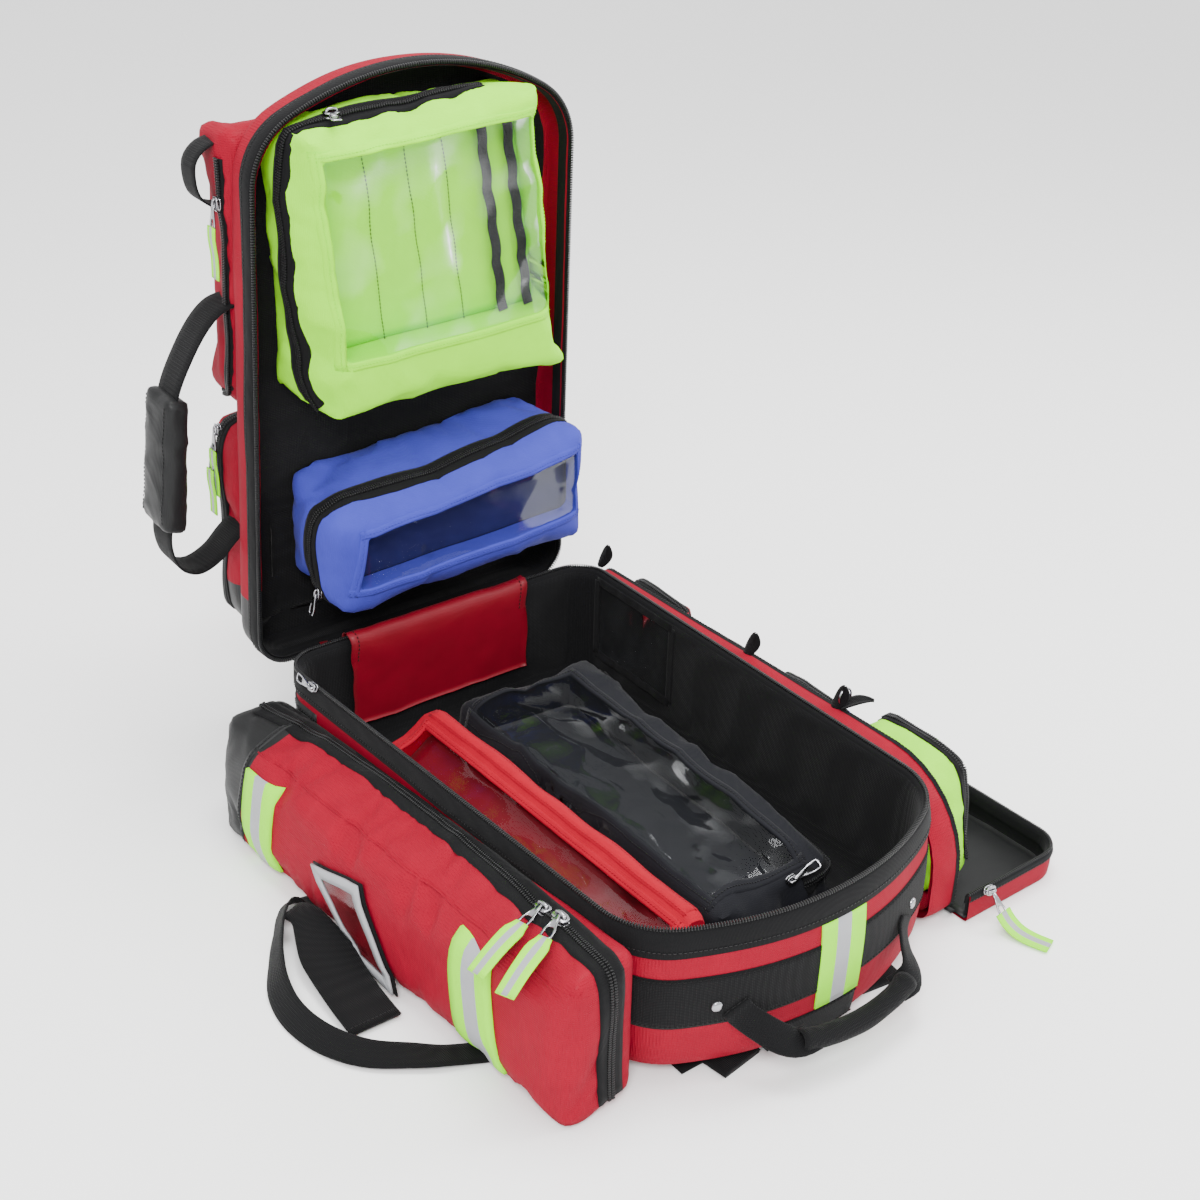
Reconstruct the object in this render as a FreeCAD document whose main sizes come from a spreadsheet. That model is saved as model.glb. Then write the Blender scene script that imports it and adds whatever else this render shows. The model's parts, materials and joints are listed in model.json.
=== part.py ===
"""Trauma backpack, lying on its back with the clamshell lid up and one side pocket open.

Frame: millimetres, +Z up, origin on the floor under the middle of the back pad.
+Y points to the hinged base end, -Y to the rounded top end with the grab handle,
-X to the closed side pocket and +X to the open one.
Lid pieces are drawn closed over the body and then turned open about the hinge.
"""
import FreeCAD, Part
import math
import os

from FreeCAD import Placement, Rotation, Vector

DIMENSIONS = {
    # main compartment
    "body_length": 590, "base_width": 380, "side_taper": 0.027, "base_corner": 35,
    "end_crown": 300, "end_corner": 72, "body_top": 152, "pad_thickness": 8,
    "wall": 4, "lining": 1.5, "cloth": 2, "zip_height": 3, "zip_width": 10,
    # lid, measured outwards from its rim plane
    "hinge_height": 113, "open_angle": 87, "lid_gap": 0.6, "lid_gusset": 42,
    "lid_pocket_depth": 72, "upper_pocket_start": 255, "upper_pocket_end": 540,
    "lower_pocket_start": 6, "lower_pocket_end": 249, "lid_pocket_width": 340,
    # side pockets
    "pocket_depth": 60, "pocket_length": 552, "pocket_base": 2, "pocket_high": 150,
    "pocket_low": 118, "gusset_depth": 21, "flap_width": 138, "flap_depth": 33, "flap_end": 267,
    # narrow goods
    "tape_width": 50, "webbing": 2.5, "webbing_width": 38, "window": 0.8,
    # pouches
    "black_pouch_height": 86, "red_pouch_height": 84, "small_pouch_depth": 47,
    "green_pouch_depth": 72, "blue_pouch_depth": 88,
}

doc = FreeCAD.newDocument("trauma_backpack")
sheet = doc.addObject("Spreadsheet::Sheet", "dims")
for row, (alias, value) in enumerate(DIMENSIONS.items(), start=1):
    sheet.set(f"A{row}", alias)
    sheet.set(f"B{row}", str(value))
    sheet.setAlias(f"B{row}", alias)
doc.recompute()


def size(alias):
    """A driving dimension as a plain number."""
    return float(sheet.get(alias))


base_y = size("body_length") / 2
half_width = size("base_width") / 2
rim_z = size("body_top") + size("zip_height")
lid_z = rim_z + size("lid_gap")
hinge_y = base_y + size("cloth") + 1.6
lid_placement = Placement(Vector(0, 0, 0), Rotation(Vector(1, 0, 0), -size("open_angle")),
                          Vector(0, hinge_y, size("hinge_height")))
nodes = []


def keep(label, obj):
    """Name a finished sub-part."""
    obj.Label = label
    nodes.append((label, obj))
    return obj


def keep_on_lid(label, obj):
    """Turn a sub-part that was drawn closed to where the open lid holds it."""
    if obj.TypeId != "PartDesign::Body":
        group = doc.addObject("Part::Compound", label + "_turned")
        group.Links = [obj]
        obj = group
    obj.Placement = lid_placement
    return keep(label, obj)


# ---------------------------------------------------------------- shape helpers
def block(name, corner, extent):
    """A box whose corner and sides are expressions in the sheet's names."""
    box = doc.addObject("Part::Box", name)
    for prop, expression in zip(("Length", "Width", "Height"), extent):
        box.setExpression(prop, str(expression))
    for axis, expression in zip("xyz", corner):
        box.setExpression(f".Placement.Base.{axis}", str(expression))
    return box


def rounded(base, radius, chosen):
    """Round the edges for which chosen(edge) is true."""
    doc.recompute()
    fillet = doc.addObject("Part::Fillet", base.Name + "_round")
    fillet.Base = base
    fillet.Edges = [(i, radius, radius) for i, edge in enumerate(base.Shape.Edges, start=1) if chosen(edge)]
    return fillet


def along(axis):
    """A test for straight edges along X, Y or Z."""
    def test(edge):
        ends = edge.Vertexes[1].Point - edge.Vertexes[0].Point if len(edge.Vertexes) == 2 else Vector()
        return ends.Length > 0 and abs(getattr(ends, axis)) > 0.98 * ends.Length
    return test


def everywhere(edge):
    return True


def cut(name, base, tool):
    result = doc.addObject("Part::Cut", name)
    result.Base = base
    result.Tool = tool
    return result


def fuse(name, pieces):
    result = doc.addObject("Part::MultiFuse", name)
    result.Shapes = pieces
    return result


def gather(name, pieces):
    result = doc.addObject("Part::Compound", name)
    result.Links = pieces
    return result


def wedge(name, near, far, near_y, far_y):
    """A tapered block: near and far are (x0, x1, z0, z1) at near_y and far_y."""
    obj = doc.addObject("Part::Wedge", name)
    obj.Ymin, obj.Ymax = near_y, far_y
    obj.Xmin, obj.Xmax, obj.Zmin, obj.Zmax = near
    obj.X2min, obj.X2max, obj.Z2min, obj.Z2max = far
    return obj


def feature(name, shape):
    obj = doc.addObject("Part::Feature", name)
    obj.Shape = shape
    return obj


def side_x(y, inset=0.0):
    """Half the body's width at y, inside an inset."""
    slope = size("side_taper")
    return half_width - slope * (base_y - y) - inset * math.hypot(1, slope)


def outline(inset):
    """The bag's outline: straight base, tapered sides, rounded crowned end."""
    corner, crown = size("base_corner") - inset, size("end_crown") - inset
    turn = size("end_corner") - inset
    crown_y = -base_y + size("end_crown")
    slope = size("side_taper")
    lean = math.atan(slope)
    # centre of the end corner: turn inside the side line, crown - turn from the crown's centre
    reach = crown - turn
    a, b = 1 + slope * slope, 2 * slope * (side_x(crown_y, inset) - turn * math.hypot(1, slope))
    c = (side_x(crown_y, inset) - turn * math.hypot(1, slope)) ** 2 - reach * reach
    drop = (-b - math.sqrt(b * b - 4 * a * c)) / (2 * a)
    centre = Vector(side_x(crown_y + drop, inset) - turn * math.hypot(1, slope), crown_y + drop, 0)
    outward = Vector(math.cos(lean), -math.sin(lean), 0)
    side_end = centre + outward * turn
    away = Vector(centre.x, drop, 0)
    away.normalize()
    crown_end = Vector(0, crown_y, 0) + away * crown
    middle = outward + away
    middle.normalize()
    corner_mid = centre + middle * turn
    top = base_y - inset
    side_top = top - corner
    edge = side_x(side_top, inset)
    base_mid = Vector(edge - corner * (1 - math.sqrt(0.5)), top - corner * (1 - math.sqrt(0.5)), 0)

    def flip(p):
        return Vector(-p.x, p.y, 0)
    start, base_end = Vector(edge, side_top, 0), Vector(edge - corner, top, 0)
    return [
        Part.LineSegment(flip(base_end), base_end),
        Part.Arc(base_end, base_mid, start),
        Part.LineSegment(start, side_end),
        Part.Arc(side_end, corner_mid, crown_end),
        Part.Arc(crown_end, Vector(0, -base_y + inset, 0), flip(crown_end)),
        Part.Arc(flip(crown_end), flip(corner_mid), flip(side_end)),
        Part.LineSegment(flip(side_end), flip(start)),
        Part.Arc(flip(start), flip(base_mid), flip(base_end)),
    ]


def sketch_on_floor(body, name, loops, level):
    """A sketch on the body's own XY plane, lifted to a level given as an expression."""
    plane = next(f for f in body.Origin.OriginFeatures if f.Role == "XY_Plane")
    sketch = body.newObject("Sketcher::SketchObject", name)
    sketch.AttachmentSupport = [(plane, "")]
    sketch.MapMode = "FlatFace"
    for geometry in loops:
        sketch.addGeometry(geometry, False)
    sketch.setExpression(".AttachmentOffset.Base.z", level)
    return sketch


def padded_outline(name, loops, level, height):
    """A body that holds one pad of the loops."""
    body = doc.addObject("PartDesign::Body", name)
    pad = body.newObject("PartDesign::Pad", name + "_pad")
    body.removeObject(pad)
    body.addObject(sketch_on_floor(body, name + "_sketch", loops, level))
    body.addObject(pad)
    pad.Profile = body.Group[0]
    pad.setExpression("Length", height)
    body.Tip = pad
    return body


def tray(name, inset, wall, level, height, floor, upwards):
    """An open tray of the bag's outline: a pad, then a pocket from its open side."""
    body = padded_outline(name, outline(inset), level, height)
    doc.recompute()
    whole = body.Shape.Volume
    mouth = f"{level} + {height}" if upwards else level
    pocket_sketch = sketch_on_floor(body, name + "_mouth", outline(inset + wall), mouth)
    pocket = body.newObject("PartDesign::Pocket", name + "_hollow")
    pocket.Profile = pocket_sketch
    pocket.setExpression("Length", f"{height} - {floor}")
    pocket.Reversed = not upwards
    body.Tip = pocket
    doc.recompute()
    if body.Shape.Volume > 0.6 * whole:
        raise RuntimeError(name + ": the hollow points away from the tray")
    return body


def ribbon(name, points, bends, width, level, height):
    """A flat strip with straight runs and round bends, width across and height thick from a level up."""
    corners = [Vector(x, y, 0) for x, y in points]
    edges, last = [], corners[0]
    for before, at, after, radius in zip(corners, corners[1:], corners[2:], bends):
        back, ahead = (before - at).normalize(), (after - at).normalize()
        half = back.getAngle(ahead) / 2
        reach = radius / math.tan(half)
        bisector = (back + ahead).normalize()
        start, end = at + back * reach, at + ahead * reach
        middle = at + bisector * (radius / math.sin(half) - radius)
        edges += [Part.LineSegment(last, start).toShape(), Part.Arc(start, middle, end).toShape()]
        last = end
    edges.append(Part.LineSegment(last, corners[-1]).toShape())
    path = Part.Wire(edges)
    sides = [path.makeOffset2D(sign * width / 2, 0, False, True, False) for sign in (1, -1)]
    starts = [min(side.Vertexes, key=lambda v: v.Point.distanceToPoint(corners[0])).Point for side in sides]
    ends = [min(side.Vertexes, key=lambda v: v.Point.distanceToPoint(corners[-1])).Point for side in sides]
    caps = [Part.LineSegment(*pair).toShape() for pair in (starts, ends)]
    rim = Part.Wire(Part.__sortEdges__(sides[0].Edges + sides[1].Edges + caps))
    strip = Part.Face(rim).extrude(Vector(0, 0, height))
    strip.translate(Vector(0, 0, level))
    return feature(name, strip)


# ---------------------------------------------------------------- main compartment
def add_body():
    top = "dims.body_top"
    shell_height = f"({top} - dims.pad_thickness)"
    keep("body_shell", tray("body_shell", 0, size("wall"), "dims.pad_thickness", shell_height,
                            "dims.wall", True))
    lining_inset = size("wall") + 0.2
    keep("body_lining", tray("body_lining", lining_inset, size("lining"), "(dims.pad_thickness + dims.wall + 0.2)",
                             f"({top} - dims.pad_thickness - dims.wall - 1.2)", "dims.lining", True))
    keep("body_zip", padded_outline("body_zip", outline(0.5) + outline(size("zip_width")), top,
                                    "dims.zip_height"))
    # a coated guard round the base wall and the closed pocket's far end
    reach, wrap = size("pocket_depth") + half_width, size("tape_width")
    outer = block("guard_outer", (f"-{reach} - dims.cloth", f"{base_y - wrap}", "dims.pocket_base"),
                  (f"{reach + half_width - 3} + dims.cloth", f"{wrap} + dims.cloth", "dims.hinge_height - 4"))
    inner = block("guard_inner", (f"-{reach}", f"{base_y - wrap - 1}", "0"),
                  (f"{reach + half_width + 9}", f"{wrap + 1}", "dims.hinge_height + 9"))
    keep("body_base_guard", cut("guard", outer, inner))


def end_band(name, x0, x1, z0, z1, offset, thickness):
    """A strip of cloth laid on the rounded end between two sides and two levels."""
    ring = Part.Face(Part.Wire([g.toShape() for g in outline(-offset - thickness)]))
    hole = Part.Face(Part.Wire([g.toShape() for g in outline(-offset)]))
    band = ring.cut(hole).extrude(Vector(0, 0, z1 - z0))
    band.translate(Vector(0, 0, z0))
    ahead, reach = 20, 26
    window = Part.makeBox(x1 - x0, ahead + reach, z1 - z0, Vector(x0, -base_y - ahead, z0))
    return feature(name, band.common(window))


def add_rounded_end():
    cloth = size("cloth")
    keep("near_end_band", end_band("near_end_band", -168, 168, 58, 108, 0.05, cloth))
    half_tape = size("tape_width") / 2
    keep("front_reflective_strip", end_band("strip", -half_tape + 5, half_tape + 5, 40, 130, cloth + 0.1, 1))
    keep("handle_patch", end_band("patch", -55, 35, 10, 38, 0.05, cloth))
    studs = []
    for index, x in enumerate((-105, 105)):
        stud = doc.addObject("Part::Cylinder", f"stud_{index}")
        stud.Radius, stud.Height = 6, 3
        turn = math.asin(x / size("end_crown"))
        outward = Vector(math.sin(turn), -math.cos(turn), 0)
        stud.Placement = Placement(Vector(x, end_y(x), 72) + outward * (cloth + 0.2),
                                   Rotation(Vector(0, 0, 1), math.degrees(turn)) * Rotation(Vector(1, 0, 0), 90))
        studs.append(stud)
    keep("handle_rivets", gather("rivets", studs))
    add_grab_handle()


def end_y(x, offset=0.0):
    """Where the crowned end lies at x."""
    crown = size("end_crown") + offset
    return -base_y + size("end_crown") - math.sqrt(crown * crown - x * x)


def add_grab_handle():
    y = end_y(60) - 6
    out = y - 30
    # padded grip, then the webbing that carries it to the rivets
    grip_path = Part.Wire(Part.Arc(Vector(-55, out + 4, 46), Vector(5, out - 6, 40), Vector(65, out + 4, 46)).toShape())
    grip_end = Part.Wire(Part.makeCircle(11, Vector(-55, out + 4, 46), grip_path.Edges[0].tangentAt(
        grip_path.Edges[0].FirstParameter)))
    keep("grab_handle_grip", feature("grip", grip_path.makePipeShell([grip_end], True, False)))
    legs = []
    for side, x_end in ((-1, -55), (1, 65)):
        x_root = side * 100
        root = Vector(x_root, end_y(x_root) - 10, 62)
        tip = Vector(x_end + side * 2.4, out + 4, 46)
        direction = tip - root
        leg = Part.makeBox(direction.Length, size("webbing"), 22, Vector(0, -size("webbing") / 2, -11))
        leg.Placement = Placement(root, Rotation(Vector(1, 0, 0), direction))
        legs.append(feature(f"leg_{'left' if side < 0 else 'right'}", leg))
    keep("grab_handle_webbing", gather("legs", legs))


def add_harness():
    """Back pad and shoulder straps, flat under the bag."""
    pad = rounded(block("pad_box", ("-62", "-232", "0"), ("124", "470", "dims.pad_thickness - 0.3")), 20, along("z"))
    keep("back_pad", pad)
    buckles = []
    for side, word in ((-1, "left"), (1, "right")):
        path = [(side * x, y) for x, y in ((84, -286), (98, -180), (118, 20), (112, 150))]
        keep(f"shoulder_strap_{word}", ribbon(f"strap_{word}", path, (300, 300), 44, 0, 6))
        buckles.append(rounded(block(f"buckle_{word}", (f"{side * 111 - 18}", "158", "0"), ("36", "30", "5")),
                               3, along("z")))
    keep("strap_buckles", gather("buckles", buckles))


def add_hinge_panel():
    """A coated panel that laps the base wall inside the compartment."""
    inside = base_y - size("wall") - size("lining") - 0.8
    leaf = block("leaf", ("-110", f"{inside - 2}", "48"), ("200", "dims.cloth", f"{size('body_top') - 48.2}"))
    keep("hinge_panel", rounded(leaf, 6, lambda e: along("y")(e) and e.BoundBox.ZMin < 60))


# ---------------------------------------------------------------- closed side pocket
def pocket_top(y):
    """Top of the closed pocket, which is lower towards the base end."""
    near = base_y - size("pocket_length")
    share = (y - near) / size("pocket_length")
    return size("pocket_high") + share * (size("pocket_low") - size("pocket_high"))


def add_left_pocket():
    near, far = base_y - size("pocket_length"), base_y
    outer_x, low = -half_width - size("pocket_depth"), size("pocket_base")
    near_in, far_in = -side_x(near) - 0.3, -side_x(far - 1) - 0.3
    high, end_high = size("pocket_high"), size("pocket_low")
    solid = wedge("pocket_solid", (outer_x, near_in, low, high), (outer_x, far_in, low, end_high), near, far)
    soft = rounded(solid, 14, lambda e: e.BoundBox.XMax < outer_x + 1 and (
        e.BoundBox.ZMin > low + 40 or e.BoundBox.YMax < near + 1))
    t = 3
    room = wedge("pocket_room", (outer_x + t, near_in - t, low + t, high - t),
                 (outer_x + t, far_in - t, low + t, end_high - t), near + t, far - t)
    keep("left_pocket", cut("pocket_shell", soft, rounded(room, 11, lambda e: e.BoundBox.XMax < outer_x + t + 1
                                                          and e.BoundBox.ZMin > low + 40)))
    add_left_zip(near, far)
    strips = []
    for index, y in enumerate((far - 125, near + 82)):
        strips.append(block(f"tape_{index}", (f"{outer_x - 1.2}", f"{y}", "4"),
                            ("1", "dims.tape_width", f"{pocket_top(y + 50) - 4 - 15}")))
    keep("left_pocket_reflective_strips", gather("tapes", strips))
    window_y = far - 275
    frame = cut("window_surround", block("surround", (f"{outer_x - 2}", f"{window_y}", "4"), ("1.6", "62", "74")),
                block("surround_hole", (f"{outer_x - 3}", f"{window_y + 10}", "14"), ("4", "42", "54")))
    keep("id_window_frame", frame)
    keep("id_window", block("id_window", (f"{outer_x - 1.6}", f"{window_y + 10.2}", "14.2"),
                            ("dims.window", "41.6", "53.6")))
    add_side_handle(outer_x)


def add_left_zip(near, far):
    """Zip tape along the pocket's top and down its near end, with two sliders."""
    x, wide, rise = -207, 12, 1.6
    fall = math.atan((size("pocket_high") - size("pocket_low")) / size("pocket_length"))
    run = (far - near - 8) / math.cos(fall)
    top = Part.makeBox(wide, run, rise)
    top.Placement = Placement(Vector(x - wide / 2, near + 1, pocket_top(near + 1) + 0.2),
                              Rotation(Vector(1, 0, 0), -math.degrees(fall)))
    down = Part.makeBox(wide, rise, size("pocket_high") - 6, Vector(x - wide / 2, near - rise - 0.2, 7))
    keep("left_pocket_zip", gather("pocket_zip", [feature("zip_top", top), feature("zip_down", down)]))
    for word, y in (("rear", near + 97), ("front", near + 73)):
        level = pocket_top(y) + 2.4
        runner = block(f"runner_{word}", (f"{x - 5}", f"{y - 7}", f"{level}"), ("10", "14", "5"))
        keep(f"left_slider_{word}", rounded(runner, 2, along("y")))
        # the pull and the tag sewn to it lie over the pocket's edge and hang down its side
        out = -half_width - size("pocket_depth") - 5.5
        pull = block(f"pull_{word}", (f"{x - 30}", f"{y - 4.5}", f"{level + 3}"), ("24.2", "9", "1.6"))
        lap = block(f"lap_{word}", (f"{out}", f"{y - 9}", f"{level + 3}"), (f"{x - 29 - out}", "18", "1.6"))
        hang = block(f"hang_{word}", (f"{out}", f"{y - 9}", "88"), ("1.6", "18", f"{level - 84}"))
        keep(f"left_tag_{word}", fuse(f"tag_{word}", [pull, lap, hang]))


def add_side_handle(outer_x):
    """A carry loop of webbing that lies out on the floor, with its wrap tab."""
    path = [(outer_x - 7, 100), (-330, 72), (-352, 6), (-338, -92), (outer_x - 7, -140)]
    keep("side_handle_webbing", ribbon("side_loop", path, (28, 60, 50), 24, 0, size("webbing")))
    tab = Part.makeBox(50, 84, size("webbing"))
    tab.Placement = Placement(Vector(-318, -66, size("webbing") + 0.1), Rotation(Vector(0, 0, 1), -4))
    keep("side_handle_tab", feature("wrap_tab", tab))


# ---------------------------------------------------------------- open side pocket
def add_right_pocket():
    near, far = -size("flap_end"), base_y - 8
    out, low, high, wall = half_width + size("gusset_depth"), size("pocket_base") + 2, 146, 3
    solid = wedge("gusset_solid", (side_x(near) + 0.3, out, low, high), (side_x(far) + 0.3, out, low, high), near, far)
    hole = wedge("gusset_hole", (side_x(near) - 9, out + 1, low + wall, high - wall),
                 (side_x(far) - 9, out + 1, low + wall, high - wall), near + wall, far - wall)
    keep("right_pocket_gusset", cut("gusset", rounded(solid, 16, along("x")), rounded(hole, 13, along("x"))))
    ring = cut("piping", rounded(block("piping_outer", (f"{out + 0.1}", f"{near}", f"{low}"),
                                       ("1.6", f"{far - near}", f"{high - low}")), 16, along("x")),
               rounded(block("piping_inner", (f"{out - 1}", f"{near + 7}", f"{low + 7}"),
                             ("4", f"{far - near - 14}", f"{high - low - 14}")), 10, along("x")))
    keep("right_pocket_zip", ring)
    add_flap(near, far, out + 2.2)
    add_small_pouches()


def add_flap(near, far, x):
    """The pocket's outer half, dropped open on the floor like a shallow tray."""
    wall, zip_rise = 3, 2
    width, depth = "dims.flap_width", f"{size('flap_depth') - zip_rise}"
    outer = rounded(block("flap_outer", (f"{x}", f"{near}", "1"), (width, f"{far - near}", depth)), 12,
                    lambda e: along("y")(e) and e.BoundBox.XMax < x + 1 or along("z")(e) and e.BoundBox.XMin > x + 9)
    inner = rounded(block("flap_inner", (f"{x - 20}", f"{near + wall}", f"{1 + wall}"),
                          (f"{width} + 20 - {wall}", f"{far - near - 2 * wall}", "60")), 9,
                    lambda e: along("z")(e) and e.BoundBox.XMin > x + 9)
    keep("side_flap", cut("flap", outer, inner))
    rim = 1.1 + size("flap_depth") - zip_rise
    ring = rounded(block("flap_zip_outer", (f"{x + 14}", f"{near}", f"{rim}"), (f"{width} - 14", f"{far - near}",
                   f"{zip_rise - 0.2}")), 12, lambda e: along("z")(e) and e.BoundBox.XMin > x + 20)
    gap = rounded(block("flap_zip_inner", (f"{x}", f"{near + 7}", f"{rim - 1}"), (f"{width} - 7", f"{far - near - 14}",
                  "9")), 8, lambda e: along("z")(e) and e.BoundBox.XMin > x + 20)
    keep("side_flap_zip", cut("flap_zip", ring, gap))
    level = 1.2 + size("flap_depth") + 0.4
    runner = rounded(block("flap_runner", (f"{x + 16}", f"{near - 6}", f"{level - 7}"), ("14", "5.4", "10")), 1.5,
                     along("x"))
    keep("side_flap_slider", runner)
    pull = block("flap_pull", (f"{x + 19}", f"{near - 32}", f"{level - 2}"), ("8", "25", "1.6"))
    tag = block("flap_tag", (f"{x + 14}", f"{near - 33}", f"{level - 28}"), ("18", "1.6", "30"))
    keep("side_flap_tag", fuse("flap_tag_set", [pull, tag]))


def add_small_pouches():
    spans = {"red": (166, 274), "black": (42, 160), "blue": (-86, 36), "green": (-254, -92)}
    for colour, (y0, y1) in spans.items():
        box = block(f"small_{colour}", (f"{half_width + 1.2}", f"{y0}", "13"),
                    ("dims.small_pouch_depth", f"{y1 - y0}", "121"))
        keep(f"small_pouch_{colour}", rounded(box, 12, lambda e: e.BoundBox.XMin > half_width + 10))
    tabs = [block(f"tab_{index}", (f"{half_width + 2}", f"{y}", "146.3"), ("18", "14", "3"))
            for index, y in enumerate((280, 38, -89))]
    keep("pouch_tabs", gather("tabs", tabs))


# ---------------------------------------------------------------- pouches in the compartment
def add_main_pouches():
    floor = size("pad_thickness") + size("wall") + size("lining") + 0.6
    top = floor + size("black_pouch_height")
    black = wedge("black_solid", (-50, 118, floor, top - 14), (-42, 140, floor, top), -200, 222)
    keep("black_pouch", rounded(black, 12, everywhere))
    window = Part.makeBox(120, 300, size("window"))
    fall = math.degrees(math.atan(14 / 422))
    window.Placement = Placement(Vector(-22, -150, top - 12.0), Rotation(Vector(1, 0, 0), fall))
    keep("black_pouch_window", feature("black_window", window))
    high = floor + size("red_pouch_height")
    profile = [(-160, floor), (-58, floor), (-58, high - 4), (-66, high), (-78, high), (-160, floor + 34)]
    face = Part.Face(Part.makePolygon([Vector(x, -205, z) for x, z in profile + profile[:1]]))
    keep("red_pouch", feature("red_pouch", face.extrude(Vector(0, 420, 0))))
    slope = math.degrees(math.atan2(high - floor - 34, 82))
    pane = Part.makeBox(84, 360, size("window"))
    pane.Placement = Placement(Vector(-152, -175, floor + 34 + 8 * math.tan(math.radians(slope)) + 0.4),
                               Rotation(Vector(0, 1, 0), -slope))
    keep("red_pouch_window", feature("red_window", pane))
    keep("inner_clear_pocket", block("clear_pocket", (f"{side_x(130) - 8.4}", "130", "56"), ("0.8", "130", "90")))


# ---------------------------------------------------------------- lid
def add_lid():
    deep = "dims.lid_gusset"
    rim = f"({lid_z} + dims.zip_height)"
    shell = tray("lid_shell", 0, size("wall"), rim, f"({deep} - dims.zip_height + 3)", "3", False)
    keep_on_lid("lid_shell", shell)
    lining = padded_outline("lid_lining", outline(size("wall") + 0.3), f"({lid_z} + {deep} - dims.lining - 0.2)",
                            "dims.lining")
    keep_on_lid("lid_lining", lining)
    keep_on_lid("lid_zip", padded_outline("lid_zip", outline(0.5) + outline(size("zip_width")), f"{lid_z}",
                                          "dims.zip_height"))
    pocket_level = lid_z + size("lid_gusset") + 3.1
    cushion = {"upper": (size("upper_pocket_start"), size("upper_pocket_end")),
               "lower": (size("lower_pocket_start"), size("lower_pocket_end"))}
    half = size("lid_pocket_width") / 2
    for word, (start, end) in cushion.items():
        box = block(f"{word}_solid", (f"-{half}", f"{base_y - end}", f"{pocket_level}"),
                    ("dims.lid_pocket_width", f"{end - start}", "dims.lid_pocket_depth"))
        soft = rounded(box, 22, lambda e: e.BoundBox.ZMin > pocket_level + 1 or along("z")(e))
        room = block(f"{word}_room", (f"-{half - 3}", f"{base_y - end + 3}", f"{pocket_level + 3}"),
                     ("dims.lid_pocket_width - 6", f"{end - start - 6}", "dims.lid_pocket_depth - 6"))
        keep_on_lid(f"lid_{word}_pocket", cut(f"{word}_pocket", soft, rounded(room, 19, lambda e: along("z")(e)
                                                                              or e.BoundBox.ZMin > pocket_level + 9)))
    add_lid_trim(pocket_level, half)
    add_lid_pouches()


def add_lid_trim(pocket_level, half):
    cloth = size("cloth")
    outer = block("lid_guard_outer", (f"-{half_width + cloth}", f"{base_y - 50}", f"{lid_z + 3}"),
                  (f"{2 * (half_width + cloth)}", f"{50 + cloth}", f"{size('lid_gusset') - 0.6}"))
    inner = block("lid_guard_inner", (f"-{half_width + 0.2}", f"{base_y - 60}", f"{lid_z}"),
                  (f"{2 * half_width + 0.4}", f"{60.1}", "90"))
    keep_on_lid("lid_base_guard", cut("lid_guard", outer, inner))
    strip = block("hinge_web", (f"-{half_width - 40}", f"{hinge_y - 1}", f"{size('hinge_height') + 1}"),
                  (f"{2 * half_width - 80}", "dims.cloth", f"{lid_z + 20 - size('hinge_height')}"))
    keep_on_lid("lid_hinge_strip", strip)
    zips = []
    for word, start, end, level in (("upper", "upper_pocket_start", "upper_pocket_end", 8),
                                    ("lower", "lower_pocket_start", "lower_pocket_end", 46)):
        length = size(end) - size(start) - 50
        for side, x in (("left", -half - 1.6), ("right", half + 0.2)):
            zips.append(block(f"{word}_zip_{side}", (f"{x}", f"{base_y - size(end) + 25}",
                              f"{pocket_level + level}"), ("1.4", f"{length}", "12")))
    keep_on_lid("lid_pocket_zips", gather("lid_zips", zips))
    for word, y, level in (("upper", base_y - 470, 8), ("lower", base_y - 200, 46)):
        z = pocket_level + level
        runner = rounded(block(f"{word}_runner", (f"{-half - 7}", f"{y}", f"{z + 1}"), ("5", "14", "10")), 1.5,
                         along("y"))
        pull = block(f"{word}_pull", (f"{-half - 8.6}", f"{y + 10}", f"{z + 2}"), ("1.6", "62", "8"))
        keep_on_lid(f"{word}_pocket_slider", fuse(f"{word}_pocket_slider_set", [runner, pull]))
    add_lid_handle(pocket_level)


def add_lid_handle(pocket_level):
    """A webbing loop off the lid's side with a padded wrap round its middle."""
    side = -size("lid_pocket_width") / 2
    level, wide = pocket_level + 5, size("webbing_width")
    root_a, root_b = base_y - 372, base_y - 135
    path = [(side - 11, root_a), (-216, root_a + 6), (-243, base_y - 296), (-250, base_y - 150),
            (-222, base_y - 104), (side - 11, root_b)]
    keep_on_lid("lid_handle_webbing", ribbon("lid_loop", path, (20, 40, 22, 16), size("webbing"), level, wide))
    wrap = block("wrap", ("-259", f"{base_y - 286}", f"{level - 5}"), ("22", "128", f"{wide + 10}"))
    core = block("wrap_core", ("-252.5", f"{base_y - 290}", f"{level - 0.5}"), ("12", "140", f"{wide + 1}"))
    keep_on_lid("lid_grip_wrap", cut("grip_wrap", rounded(wrap, 7, along("y")), core))
    small = [(side - 2.2, base_y - 524), (side - 26, base_y - 512), (side - 26, base_y - 470), (side - 2.2, base_y - 458)]
    keep_on_lid("lid_side_loop", ribbon("side_webbing_loop", small, (9, 9), size("webbing"), pocket_level + 24, 25))


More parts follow.
